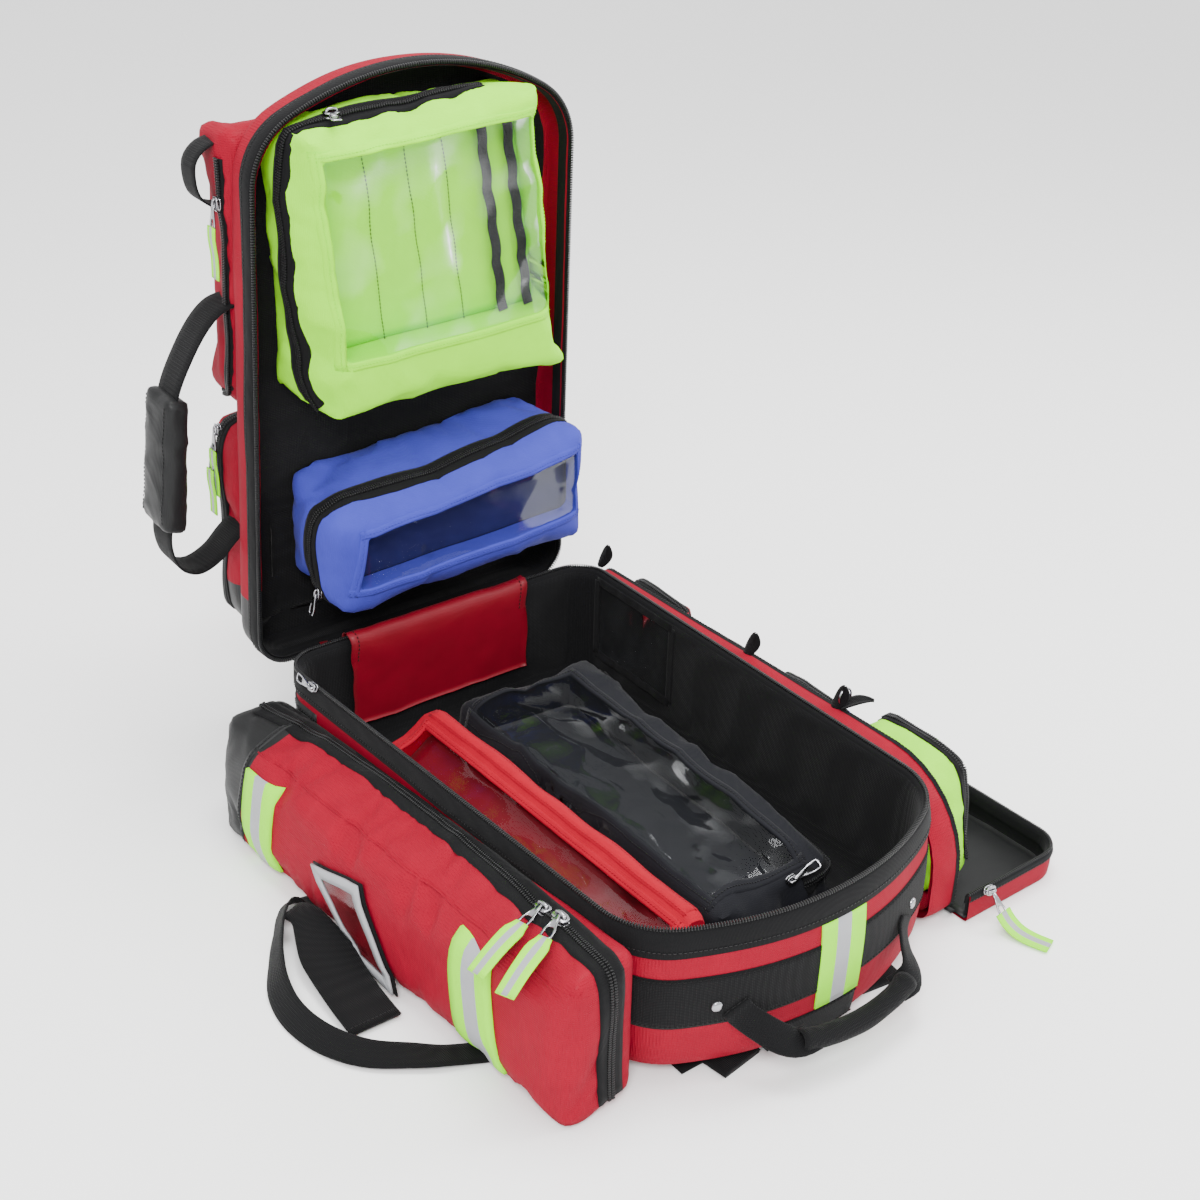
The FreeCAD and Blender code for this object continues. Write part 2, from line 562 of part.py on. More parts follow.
def add_lid_pouches():
    back = lid_z + size("lid_gusset") - size("lining") - 1
    depth = size("green_pouch_depth")
    corners = [(-128, 544), (104, 544), (146, 276), (-120, 276)]
    face = Part.Face(Part.makePolygon([Vector(x, base_y - u, back - depth) for x, u in corners + corners[:1]]))
    solid = feature("green_solid", face.extrude(Vector(0, 0, depth)))
    keep_on_lid("green_pouch", rounded(solid, 12, everywhere))
    keep_on_lid("green_pouch_window", block("green_window", ("-104", f"{base_y - 520}", f"{back - depth - 1}"),
                                            ("204", "190", "dims.window")))
    depth = size("blue_pouch_depth")
    box = block("blue_solid", ("-128", f"{base_y - 216}", f"{back - depth}"), ("288", "148", f"{depth}"))
    keep_on_lid("blue_pouch", rounded(box, 14, everywhere))
    keep_on_lid("blue_pouch_window", block("blue_window", ("-90", f"{base_y - 176}", f"{back - depth - 1}"),
                                           ("230", "74", "dims.window")))


def add_main_slider():
    """The lid zip's slider, parked beside the body's rim by the base corner."""
    x, y = -side_x(230) - 6.6, 222
    runner = rounded(block("main_runner", (f"{x}", f"{y}", "150.6"), ("6", "15", "9")), 1.5, along("y"))
    pull = block("main_pull", (f"{x - 1.6}", f"{y + 10}", "151"), ("1.6", "30", "8"))
    keep("main_zip_slider", fuse("main_slider", [runner, pull]))


add_body()
add_rounded_end()
add_harness()
add_hinge_panel()
add_left_pocket()
add_right_pocket()
add_main_pouches()
add_lid()
add_main_slider()

doc.recompute()
for obj in doc.Objects:
    if "Invalid" in obj.State or "Error" in obj.State:
        raise RuntimeError(f"{obj.Name} ({obj.TypeId}) failed: {obj.State}")
os.makedirs("parts", exist_ok=True)
for label, obj in nodes:
    if obj.Shape.isNull() or not obj.Shape.isValid() or not obj.Shape.Solids:
        raise RuntimeError(f"{label}: bad shape")
    obj.Shape.exportStep(f"parts/{label}.step")
    box = obj.Shape.BoundBox
    print(f"{label:32s} {len(obj.Shape.Solids)} solids {obj.Shape.Volume / 1000:9.1f} cm3  "
          f"x {box.XMin:7.1f} {box.XMax:7.1f}  y {box.YMin:7.1f} {box.YMax:7.1f}  z {box.ZMin:7.1f} {box.ZMax:7.1f}")
print(len(nodes), "nodes")
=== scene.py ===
"""Looks of the trauma backpack: fabric, zips, webbing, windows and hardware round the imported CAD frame.

Metres, in the CAD frame: +Z up, +Y to the hinged base end, +X to the open side pocket.
Pieces of the lid are worked out in the lid's own terms, (x, u, t): u up the lid from its base edge,
t outwards from its rim plane, so t is negative inside the lid.
"""
import json
import math

import bmesh
import bpy
from mathutils import Matrix, Vector, noise
from mathutils.bvhtree import BVHTree

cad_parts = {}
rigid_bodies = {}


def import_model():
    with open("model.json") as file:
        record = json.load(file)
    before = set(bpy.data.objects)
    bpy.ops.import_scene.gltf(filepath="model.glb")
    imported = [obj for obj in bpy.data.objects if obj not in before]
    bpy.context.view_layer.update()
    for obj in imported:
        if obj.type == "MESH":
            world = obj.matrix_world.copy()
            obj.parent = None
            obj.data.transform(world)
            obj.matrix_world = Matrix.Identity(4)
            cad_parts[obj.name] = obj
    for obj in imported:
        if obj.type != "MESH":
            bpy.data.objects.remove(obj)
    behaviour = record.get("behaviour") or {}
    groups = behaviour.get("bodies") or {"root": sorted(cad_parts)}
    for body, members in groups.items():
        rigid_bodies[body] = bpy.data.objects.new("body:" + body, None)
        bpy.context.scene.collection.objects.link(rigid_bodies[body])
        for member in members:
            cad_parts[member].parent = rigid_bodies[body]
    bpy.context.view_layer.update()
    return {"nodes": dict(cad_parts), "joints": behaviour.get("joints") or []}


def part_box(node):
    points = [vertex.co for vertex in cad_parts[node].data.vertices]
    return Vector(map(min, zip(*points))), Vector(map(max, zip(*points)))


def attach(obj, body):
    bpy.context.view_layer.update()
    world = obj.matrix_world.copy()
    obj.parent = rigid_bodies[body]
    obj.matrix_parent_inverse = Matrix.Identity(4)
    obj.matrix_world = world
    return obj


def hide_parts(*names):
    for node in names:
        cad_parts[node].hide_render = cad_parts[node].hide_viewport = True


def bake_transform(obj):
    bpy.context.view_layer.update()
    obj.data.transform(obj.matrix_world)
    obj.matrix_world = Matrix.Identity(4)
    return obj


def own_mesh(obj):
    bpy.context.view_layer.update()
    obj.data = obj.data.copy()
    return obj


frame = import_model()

MM = 0.001
UP = Vector((0, 0, 1))
EAST, WEST = Vector((1, 0, 0)), Vector((-1, 0, 0))
NORTH, SOUTH = Vector((0, 1, 0)), Vector((0, -1, 0))


def mm(*values):
    return tuple(value * MM for value in values)


# ---------------------------------------------------------------- places taken from the frame
shell_low, shell_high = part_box("body_shell")
BASE_Y = shell_high.y
SIDE_TAPER = 0.027
BASE_CORNER = 0.035
END_CROWN = 0.300
END_CORNER = 0.072
HALF_WIDTH = shell_high.x + SIDE_TAPER * BASE_CORNER
BODY_TOP = shell_high.z
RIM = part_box("body_zip")[1].z
POCKET_LOW, POCKET_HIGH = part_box("left_pocket")
joints = {joint["name"]: joint for joint in frame["joints"]}
HINGE = Vector(joints["lid_hinge"]["pos_m"])
LID_PLANE = RIM + 0.0006
OPEN_ANGLE = math.radians(-joints["lid_hinge"]["range_deg"][0])


# ---------------------------------------------------------------- camera and light
def add_camera():
    """The photograph's view: a 52.5 mm lens from the near left, above."""
    yaw, pitch, roll = 0.6761, 0.4923, 0.0312
    aim = Vector((0.0548, 0.0988, 0.2317))
    distance = 1.6961
    forward = Vector((math.sin(yaw) * math.cos(pitch), math.cos(yaw) * math.cos(pitch), -math.sin(pitch)))
    right = Vector((math.cos(yaw), -math.sin(yaw), 0))
    above = right.cross(forward)
    right, above = (right * math.cos(roll) + above * math.sin(roll),
                    above * math.cos(roll) - right * math.sin(roll))
    data = bpy.data.cameras.new("camera")
    data.lens, data.sensor_width = 52.5, 36
    camera = bpy.data.objects.new("camera", data)
    place = Matrix((right, above, -forward)).transposed().to_4x4()
    place.translation = aim - forward * distance
    camera.matrix_world = place
    bpy.context.scene.collection.objects.link(camera)
    bpy.context.scene.camera = camera


def add_lamp(name, place, aim, width, watts):
    data = bpy.data.lights.new(name, "AREA")
    data.shape, data.size, data.energy = "DISK", width, watts
    lamp = bpy.data.objects.new(name, data)
    lamp.location = place
    lamp.rotation_euler = (Vector(aim) - Vector(place)).to_track_quat("-Z", "Y").to_euler()
    bpy.context.scene.collection.objects.link(lamp)


def add_studio():
    """A pale floor, an even pale surround and three soft lamps."""
    world = bpy.data.worlds.new("studio")
    world.use_nodes = True
    background = world.node_tree.nodes["Background"]
    background.inputs["Color"].default_value = (1, 1, 1, 1)
    background.inputs["Strength"].default_value = 1.7
    bpy.context.scene.world = world
    add_lamp("lamp_key", (-1.5, -1.6, 2.3), (0, 0, 0.2), 1.1, 95)
    add_lamp("lamp_top", (0.3, 0.2, 2.6), (0, 0, 0.1), 1.4, 60)
    add_lamp("lamp_side", (2.1, -0.9, 1.5), (0.1, 0, 0.2), 1.0, 34)
    bpy.ops.mesh.primitive_plane_add(size=12)
    floor = bpy.context.object
    floor.name = "floor"
    paint = bpy.data.materials.new("floor_paint")
    paint.use_nodes = True
    shader = paint.node_tree.nodes["Principled BSDF"]
    shader.inputs["Base Color"].default_value = (0.97, 0.97, 0.97, 1)
    shader.inputs["Roughness"].default_value = 0.7
    floor.data.materials.append(paint)


# ---------------------------------------------------------------- materials
class Shading:
    """A small helper that adds and joins nodes in one material."""

    def __init__(self, name):
        self.material = bpy.data.materials.new(name)
        self.material.use_nodes = True
        self.tree = self.material.node_tree
        self.shader = self.tree.nodes["Principled BSDF"]
        self.coordinates = self.tree.nodes.new("ShaderNodeTexCoord").outputs["Object"]

    def add(self, kind, **settings):
        node = self.tree.nodes.new(kind)
        for key, value in settings.items():
            if hasattr(node, key):
                setattr(node, key, value)
            else:
                node.inputs[key.replace("_", " ")].default_value = value
        return node

    def join(self, source, socket):
        self.tree.links.new(source, socket)

    def math(self, operation, first, second):
        node = self.add("ShaderNodeMath", operation=operation)
        for socket, value in zip(node.inputs, (first, second)):
            if isinstance(value, (int, float)):
                socket.default_value = value
            else:
                self.join(value, socket)
        return node.outputs[0]

    def noise(self, scale, detail=4.0, roughness=0.55):
        node = self.add("ShaderNodeTexNoise", Scale=scale, Detail=detail, Roughness=roughness)
        self.join(self.coordinates, node.inputs["Vector"])
        return node.outputs["Fac"]

    def weave(self, period):
        """Threads that cross at the period, the same on faces of every direction."""
        waves = []
        for axis in "XYZ":
            node = self.add("ShaderNodeTexWave", bands_direction=axis, Scale=0.314 / period)
            self.join(self.coordinates, node.inputs["Vector"])
            waves.append(node.outputs["Fac"])
        x, y, z = waves
        pairs = [self.math("MULTIPLY", a, b) for a, b in ((x, y), (y, z), (z, x))]
        return self.math("ADD", self.math("ADD", pairs[0], pairs[1]), pairs[2])

    def blend_colours(self, factor, dark, light):
        node = self.add("ShaderNodeMix", data_type="RGBA")
        self.join(factor, node.inputs["Factor"])
        node.inputs["A"].default_value = (*dark, 1)
        node.inputs["B"].default_value = (*light, 1)
        return node.outputs["Result"]

    def bump(self, height, distance, strength=1.0, after=None):
        node = self.add("ShaderNodeBump", Distance=distance, Strength=strength)
        self.join(height, node.inputs["Height"])
        if after is not None:
            self.join(after, node.inputs["Normal"])
        return node.outputs["Normal"]


def shade(colour, factor):
    return tuple(min(1.0, max(0.0, part * factor)) for part in colour)


def fabric(name, colour, period=1.6 * MM, relief=0.25 * MM, roughness=0.85, sheen=0.03, mottle=0.16,
           crease=0.8 * MM, crease_scale=26, gloss=0.0):
    """Woven cloth: thread relief, a little mottling, painted shade in the weave's valleys, fine creases and sheen."""
    s = Shading(name)
    threads = s.weave(period)
    patches = s.noise(40, 5)
    # Colour mix: random mottling (the cloth's own tone) plus the thread relief, which lightens the colour where threads
    # cross so the weave's valleys come out darker as painted shade.
    spread = s.math("ADD", s.math("MULTIPLY", patches, 1.0), s.math("MULTIPLY", threads, 0.1))
    s.join(s.blend_colours(spread, shade(colour, 1 - mottle), shade(colour, 1 + mottle * 0.6)),
           s.shader.inputs["Base Color"])
    folds = s.bump(s.noise(crease_scale, 3, 0.5), crease, 0.6)
    s.join(s.bump(threads, relief, 0.7, folds), s.shader.inputs["Normal"])
    s.shader.inputs["Roughness"].default_value = roughness
    s.shader.inputs["Specular IOR Level"].default_value = 0.14
    s.shader.inputs["Sheen Weight"].default_value = sheen
    s.shader.inputs["Sheen Roughness"].default_value = 0.45
    s.shader.inputs["Coat Weight"].default_value = gloss
    s.shader.inputs["Coat Roughness"].default_value = 0.32
    return s.material


def vinyl(name, haze=0.012):
    """Clear film: see-through, with wavy mirror reflections that grow at the edges of sight."""
    s = Shading(name)
    waves = s.bump(s.noise(16, 2, 0.5), 2.5 * MM, 0.7)
    s.join(waves, s.shader.inputs["Normal"])
    s.join(s.blend_colours(s.noise(60, 3), (0.80, 0.82, 0.84), (0.92, 0.93, 0.95)), s.shader.inputs["Base Color"])
    s.shader.inputs["Metallic"].default_value = 1.0
    s.shader.inputs["Roughness"].default_value = 0.10
    clear = s.add("ShaderNodeBsdfTransparent", Color=(0.90, 0.91, 0.91, 1))
    edge = s.add("ShaderNodeLayerWeight", Blend=0.3)
    s.join(waves, edge.inputs["Normal"])
    folds = s.math("MULTIPLY", s.math("SUBTRACT", s.noise(13, 2, 0.55), 0.52), 7.0)
    streaks = s.math("MINIMUM", s.math("MAXIMUM", folds, 0.06), 1.0)
    mix = s.add("ShaderNodeMixShader")
    s.join(s.math("ADD", s.math("MULTIPLY", edge.outputs["Fresnel"], streaks), haze), mix.inputs[0])
    s.join(clear.outputs[0], mix.inputs[1])
    s.join(s.shader.outputs[0], mix.inputs[2])
    output = next(n for n in s.tree.nodes if n.type == "OUTPUT_MATERIAL")
    s.join(mix.outputs[0], output.inputs["Surface"])
    return s.material


def metal(name, colour, roughness):
    s = Shading(name)
    s.join(s.bump(s.noise(900, 2), 0.05 * MM, 0.5), s.shader.inputs["Normal"])
    s.join(s.blend_colours(s.noise(150, 4), shade(colour, 0.8), shade(colour, 1.1)), s.shader.inputs["Base Color"])
    s.shader.inputs["Metallic"].default_value = 1.0
    s.shader.inputs["Roughness"].default_value = roughness
    return s.material


RED = fabric("nylon_red", (0.24, 0.0004, 0.014), 2.0 * MM, 0.3 * MM, sheen=0.0, mottle=0.2, gloss=0.05)
KNIT = fabric("knit_black", (0.0035, 0.0035, 0.004), 1.8 * MM, 0.25 * MM, sheen=0.06, mottle=0.3, crease=1.6 * MM)
GUARD = fabric("coated_black", (0.007, 0.0072, 0.0076), 1.2 * MM, 0.08 * MM, 0.5, gloss=0.12)
WEBBING = fabric("webbing_black", (0.0035, 0.0035, 0.004), 1.6 * MM, 0.3 * MM, sheen=0.04)
TAPE = fabric("zip_tape_black", (0.0035, 0.0035, 0.004), 1.1 * MM, 0.12 * MM, sheen=0.04)
COIL = fabric("zip_coil_black", (0.004, 0.004, 0.0045), 0.8 * MM, 0.05 * MM, 0.4, gloss=0.25)
BURGUNDY = fabric("coated_burgundy", (0.15, 0.0022, 0.009), 1.2 * MM, 0.06 * MM, 0.45, 0.01, 0.2, 1.5 * MM, 18, 0.15)
LIME = fabric("tape_lime", (0.27, 0.80, 0.0005), 1.3 * MM, 0.12 * MM, 0.7, 0.01, 0.08)
SILVER = fabric("tape_silver", (0.30, 0.305, 0.32), 0.9 * MM, 0.06 * MM, 0.42, 0.0, 0.1, gloss=0.2)
GREEN = fabric("nylon_green", (0.27, 0.78, 0.0005), 1.2 * MM, 0.1 * MM, 0.75, 0.02, 0.10, 1.6 * MM, 14)
BLUE = fabric("nylon_blue", (0.040, 0.045, 0.34), 1.2 * MM, 0.1 * MM, 0.75, 0.03, 0.16, 1.6 * MM, 14)
POUCH_RED = fabric("nylon_pouch_red", (0.33, 0.0006, 0.014), 1.2 * MM, 0.1 * MM, 0.75, 0.02, 0.16, 1.6 * MM, 14)
CHARCOAL = fabric("nylon_charcoal", (0.0065, 0.0068, 0.0095), 1.2 * MM, 0.1 * MM, 0.75, 0.05, 0.2, 1.6 * MM, 14)
THREAD_DARK = fabric("thread_dark", (0.006, 0.006, 0.006), 0.6 * MM, 0.05 * MM)
NAVY = fabric("nylon_navy", (0.010, 0.011, 0.07), 1.2 * MM, 0.1 * MM, 0.75, 0.03, 0.3, 1.6 * MM, 14)
CLEAR = vinyl("vinyl_clear")
NICKEL = metal("nickel", (0.36, 0.36, 0.38), 0.24)
PLASTIC = fabric("acetal_black", (0.006, 0.006, 0.007), 0.5 * MM, 0.02 * MM, 0.4, gloss=0.2)


# ---------------------------------------------------------------- making meshes
def build(name, verts, faces, materials, body=None, slot=None, replaces=(), indices=None):
    """One piece from points and faces. indices gives each face's material."""
    mesh = bpy.data.meshes.new(name)
    mesh.from_pydata([tuple(v) for v in verts], [], faces)
    materials = materials if isinstance(materials, (list, tuple)) else [materials]
    for material in materials:
        mesh.materials.append(material)
    if indices:
        mesh.polygons.foreach_set("material_index", indices)
    mesh.polygons.foreach_set("use_smooth", [True] * len(mesh.polygons))
    form = bmesh.new()
    form.from_mesh(mesh)
    bmesh.ops.remove_doubles(form, verts=form.verts, dist=1e-6)
    bmesh.ops.recalc_face_normals(form, faces=form.faces)
    form.to_mesh(mesh)
    form.free()
    mesh.update()
    piece = bpy.data.objects.new(name, mesh)
    bpy.context.scene.collection.objects.link(piece)
    return settle(piece, body, slot, replaces)


def settle(piece, body, slot, replaces=()):
    """Say what a piece rides on and which CAD nodes it stands for; slot is not used."""
    if body:
        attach(piece, body)
    if replaces:
        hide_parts(*replaces)
    return piece


def gathered(parts):
    """Join (verts, faces, index) parts into one list of each."""
    verts, faces, indices = [], [], []
    for part_verts, part_faces, index in parts:
        start = len(verts)
        verts += part_verts
        faces += [tuple(start + i for i in face) for face in part_faces]
        indices += index if isinstance(index, list) else [index] * len(part_faces)
    return verts, faces, indices


def assemble(name, parts, materials, body=None, slot=None, replaces=()):
    """One piece from (verts, faces, index) parts."""
    verts, faces, indices = gathered(parts)
    return build(name, verts, faces, materials, body, slot, replaces, indices)


def sheet_grid(rows, close_rows=False, close_columns=False):
    """Quads between rows of points."""
    count, width = len(rows), len(rows[0])
    verts = [point for row in rows for point in row]
    faces = []
    for r in range(count if close_rows else count - 1):
        for c in range(width if close_columns else width - 1):
            a, b = r * width + c, r * width + (c + 1) % width
            d, e = (r + 1) % count * width + c, (r + 1) % count * width + (c + 1) % width
            faces.append((a, b, e, d))
    return verts, faces


def smooth_line(points, step, closed=False):
    """Points evenly spaced along a smooth curve through the given ones."""
    return smooth_places(points, step, closed)[0]


def smooth_places(points, step, closed=False):
    """smooth_line's points, and where each lies as a number of given points along."""
    count = len(points)
    dense = []
    for i in range(count if closed else count - 1):
        if closed:
            before, start, end, after = (points[(i + k) % count] for k in (-1, 0, 1, 2))
        else:
            before, start, end, after = (points[min(max(i + k, 0), count - 1)] for k in (-1, 0, 1, 2))
        for k in range(12):
            f = k / 12
            dense.append(0.5 * ((2 * start) + (end - before) * f + (2 * before - 5 * start + 4 * end - after) * f ** 2
                                + (3 * start - before - 3 * end + after) * f ** 3))
    dense.append(points[0].copy() if closed else points[-1].copy())
    line, places = stepped(dense, step)
    if closed:
        line, places = line[:-1], places[:-1]
    return line, [place / 12 for place in places]


def stepped(line, step):
    """The same line with points about a step apart, and where each lies on the old one."""
    lengths = [0.0]
    for a, b in zip(line, line[1:]):
        lengths.append(lengths[-1] + (b - a).length)
    steps = max(2, round(lengths[-1] / step))
    found, places, at = [], [], 0
    for k in range(steps + 1):
        goal = lengths[-1] * k / steps
        while at < len(lengths) - 2 and lengths[at + 1] < goal:
            at += 1
        span = lengths[at + 1] - lengths[at]
        share = (goal - lengths[at]) / span if span else 0
        found.append(line[at].lerp(line[at + 1], share))
        places.append(at + share)
    return found, places


def frames_along(line, ups, closed=False):
    """(point, along, side, up) for each point of a line, with up given at each point or once."""
    found, count = [], len(line)
    for i, point in enumerate(line):
        if closed:
            along = line[(i + 1) % count] - line[i - 1]
        else:
            along = line[min(i + 1, count - 1)] - line[max(i - 1, 0)]
        along.normalize()
        up = (ups[i] if isinstance(ups, list) else ups).copy()
        side = along.cross(up).normalized()
        found.append((point, along, side, side.cross(along)))
    return found


def sweep(line, ups, section, closed=False, widths=None):
    """A closed section, (side, up) pairs, carried along a line. widths(share) narrows it."""
    rows = []
    for k, (point, _, side, up) in enumerate(frames_along(line, ups, closed)):
        wide = widths(k / (len(line) - 1)) if widths else 1.0
        rows.append([point + side * a * wide + up * b for a, b in section])
    verts, faces = sheet_grid(rows, closed, True)
    if not closed:
        width, last = len(section), (len(rows) - 1) * len(section)
        faces += [tuple(range(width)), tuple(last + k for k in reversed(range(width)))]
    return verts, faces


def round_section(radius, count=10, squash=1.0):
    return [(radius * math.cos(2 * math.pi * k / count), radius * squash * math.sin(2 * math.pi * k / count))
            for k in range(count)]


def little_box(centre, along, side, up, length, width, height):
    a, s, u = along * (length / 2), side * (width / 2), up * (height / 2)
    low = [centre - a - s - u, centre + a - s - u, centre + a + s - u, centre - a + s - u]
    high = [centre - a * 0.7 - s * 0.8 + u, centre + a * 0.7 - s * 0.8 + u,
            centre + a * 0.7 + s * 0.8 + u, centre - a * 0.7 + s * 0.8 + u]
    faces = [(0, 3, 2, 1), (4, 5, 6, 7), (0, 1, 5, 4), (1, 2, 6, 5), (2, 3, 7, 6), (3, 0, 4, 7)]
    return low + high, faces


TOOTH_PITCH = 2.5 * MM


def pieces_along(line, ups, pitch, shape):
    """The same small shape again and again along a line."""
    frames = frames_along(resampled(line, pitch), spread(ups, line, pitch))
    return gathered([(*shape(*place), 0) for place in frames])[:2]


def teeth(line, ups, shift=0.0, width=3.4 * MM, height=2.2 * MM):
    """One row of coil teeth, moved sideways from the line."""
    return pieces_along(line, ups, TOOTH_PITCH, lambda p, along, side, up: little_box(
        p + side * shift, along, side, up, TOOTH_PITCH * 0.62, width, height))


def resampled(line, step):
    return stepped(line, step)[0]


def spread(ups, line, step):
    """Up directions to go with resampled(line, step)."""
    if not isinstance(ups, list):
        return ups
    count = len(resampled(line, step))
    return [ups[min(len(ups) - 1, round(i * (len(ups) - 1) / (count - 1)))] for i in range(count)]


def stitch_row(line, ups, lift=0.3 * MM, pitch=4.2 * MM, width=0.8 * MM):
    """A row of short threads."""
    return pieces_along(line, ups, pitch, lambda p, along, side, up: little_box(
        p + up * lift, along, side, up, pitch * 0.66, width, 0.6 * MM))


class Surface:
    """A finished surface that trim can be laid on."""

    def __init__(self, *pieces):
        bpy.context.view_layer.update()
        graph = bpy.context.evaluated_depsgraph_get()
        verts, faces = [], []
        for piece in pieces:
            mesh = piece.evaluated_get(graph).to_mesh()
            start = len(verts)
            verts += [piece.matrix_world @ v.co for v in mesh.vertices]
            faces += [tuple(start + i for i in p.vertices) for p in mesh.polygons]
            piece.evaluated_get(graph).to_mesh_clear()
        self.tree = BVHTree.FromPolygons(verts, faces)

    def under(self, point, outward, reach=0.045):
        hit = self.tree.ray_cast(point + outward * reach, -outward, 2.4 * reach)[0]
        return hit if hit is not None else self.tree.find_nearest(point)[0]


def laid_rows(surface, line, outs, offsets, lift):
    """Rows of points on a surface, side by side along a line."""
    rows = []
    for point, _, side, out in frames_along(line, outs):
        rows.append([surface.under(point + side * offset, out) + out * lift for offset in offsets])
    return rows


def calmed(surface, rows, outs, rounds, least):
    """Rows evened out along their line, so a stiff tape doesn't follow every ripple, but never under the surface."""
    for _ in range(rounds):
        inner = [[a * 0.25 + b * 0.5 + c * 0.25 for a, b, c in zip(*three)] for three in zip(rows, rows[1:],
                rows[2:])]
        rows = [rows[0], *inner, rows[-1]]
    found = []
    for row, out in zip(rows, outs):
        under = [surface.under(p, out) for p in row]
        found.append([p if (p - u).dot(out) > least else u + out * least for p, u in zip(row, under)])
    return found


def skirted(rows, outs, sink=3 * MM, column_index=None):
    """A laid sheet with edges that go down into what it lies on."""
    deep = []
    for i, row in enumerate(rows):
        out = outs[i] if isinstance(outs, list) else outs
        deep.append([row[0] - out * sink, *row, row[-1] - out * sink])
    first = [p - (outs[0] if isinstance(outs, list) else outs) * sink for p in deep[0]]
    last = [p - (outs[-1] if isinstance(outs, list) else outs) * sink for p in deep[-1]]
    verts, faces = sheet_grid([first, *deep, last])
    width = len(deep[0]) - 1
    if column_index:
        wide = [column_index[0], *column_index, column_index[-1]]
        return verts, faces, [wide[i % width] for i in range(len(faces))]
    return verts, faces, 0


def route_on(points, outs, step=8 * MM):
    """A smooth line and its outward directions through a few given points."""
    line, places = smooth_places([Vector(p) for p in points], step)
    if not isinstance(outs, list):
        return line, [Vector(outs).normalized()] * len(line)
    found = []
    for place in places:
        k = min(int(place), len(outs) - 2)
        found.append(Vector(outs[k]).lerp(Vector(outs[k + 1]), place - k).normalized())
    return line, found


def laid_strip(name, surface, points, outs, width, materials, body, slot, lift=0.8 * MM, columns=None, replaces=(),
               step=8 * MM, stitched=None):
    """A strip of cloth laid along a route on a surface. columns splits it into (share, material index)."""
    line, ups = route_on(points, outs, step)
    shares = columns or [(1.0, 0)]
    offsets, index, at = [-width / 2], [], -width / 2
    for share, which in shares:
        parts = max(1, round(share * width / (9 * MM)))
        for _ in range(parts):
            at += share * width / parts
            offsets.append(at)
            index.append(which)
    rows = calmed(surface, laid_rows(surface, line, ups, offsets, lift), ups, 3, lift * 0.6)
    parts = [skirted(rows, ups, column_index=index)]
    if stitched is not None:
        for side in (1, -2):
            edge = [row[side if side > 0 else len(row) + side].lerp(row[0 if side > 0 else -1], 0.72) for row in rows]
            verts, faces = stitch_row(edge, ups)
            parts.append((verts, faces, stitched))
    return assemble(name, parts, materials, body, slot, replaces)


def laid_zip(name, surface, points, outs, body, width, replaces=(), step=8 * MM):
    """A zip laid along a route: its tape and two rows of coil teeth."""
    lift = 1.6 * MM
    line, ups = route_on(points, outs, step)
    offsets = [width * k / 6 for k in range(-3, 4)]
    rows = calmed(surface, laid_rows(surface, line, ups, offsets, lift), ups, 6, lift * 0.6)
    middle = [row[3] + up * 0.8 * MM for row, up in zip(rows, ups)]
    parts = [skirted(rows, ups)]
    parts += [(*teeth(middle, ups, shift), 1) for shift in (-1.9 * MM, 1.9 * MM)]
    return assemble(name, parts, [TAPE, COIL], body, "zip_black", replaces)


def patch_on(surface, corners, out, across, down, lift):
    """Rows of points on a surface inside four corners."""
    a, b, c, d = (Vector(p) for p in corners)
    out = Vector(out).normalized()
    return [[surface.under((a.lerp(b, i / across)).lerp(d.lerp(c, i / across), j / down), out) + out * lift
             for i in range(across + 1)] for j in range(down + 1)]


# ---------------------------------------------------------------- soft forms
def soft_box(name, corners_low, corners_high, radius, material):
    """A block between two four-cornered faces with rounded edges, ready to be inflated."""
    form = bmesh.new()
    low = [form.verts.new(p) for p in corners_low]
    high = [form.verts.new(p) for p in corners_high]
    form.faces.new(low)
    form.faces.new(reversed(high))
    for i in range(4):
        form.faces.new((low[i], high[i], high[(i + 1) % 4], low[(i + 1) % 4]))
    bmesh.ops.recalc_face_normals(form, faces=form.faces)
    bmesh.ops.bevel(form, geom=form.edges[:], offset=radius, segments=3, profile=0.5, affect="EDGES")
    mesh = bpy.data.meshes.new(name)
    form.to_mesh(mesh)
    form.free()
    mesh.materials.append(material)
    piece = bpy.data.objects.new(name, mesh)
    bpy.context.scene.collection.objects.link(piece)
    return piece


def apply_modifiers(piece):
    """Keep what the modifiers make as the piece's own mesh."""
    graph = bpy.context.evaluated_depsgraph_get()
    mesh = bpy.data.meshes.new_from_object(piece.evaluated_get(graph))
    piece.modifiers.clear()
    piece.data = mesh


CLOTH_FRAMES = 20


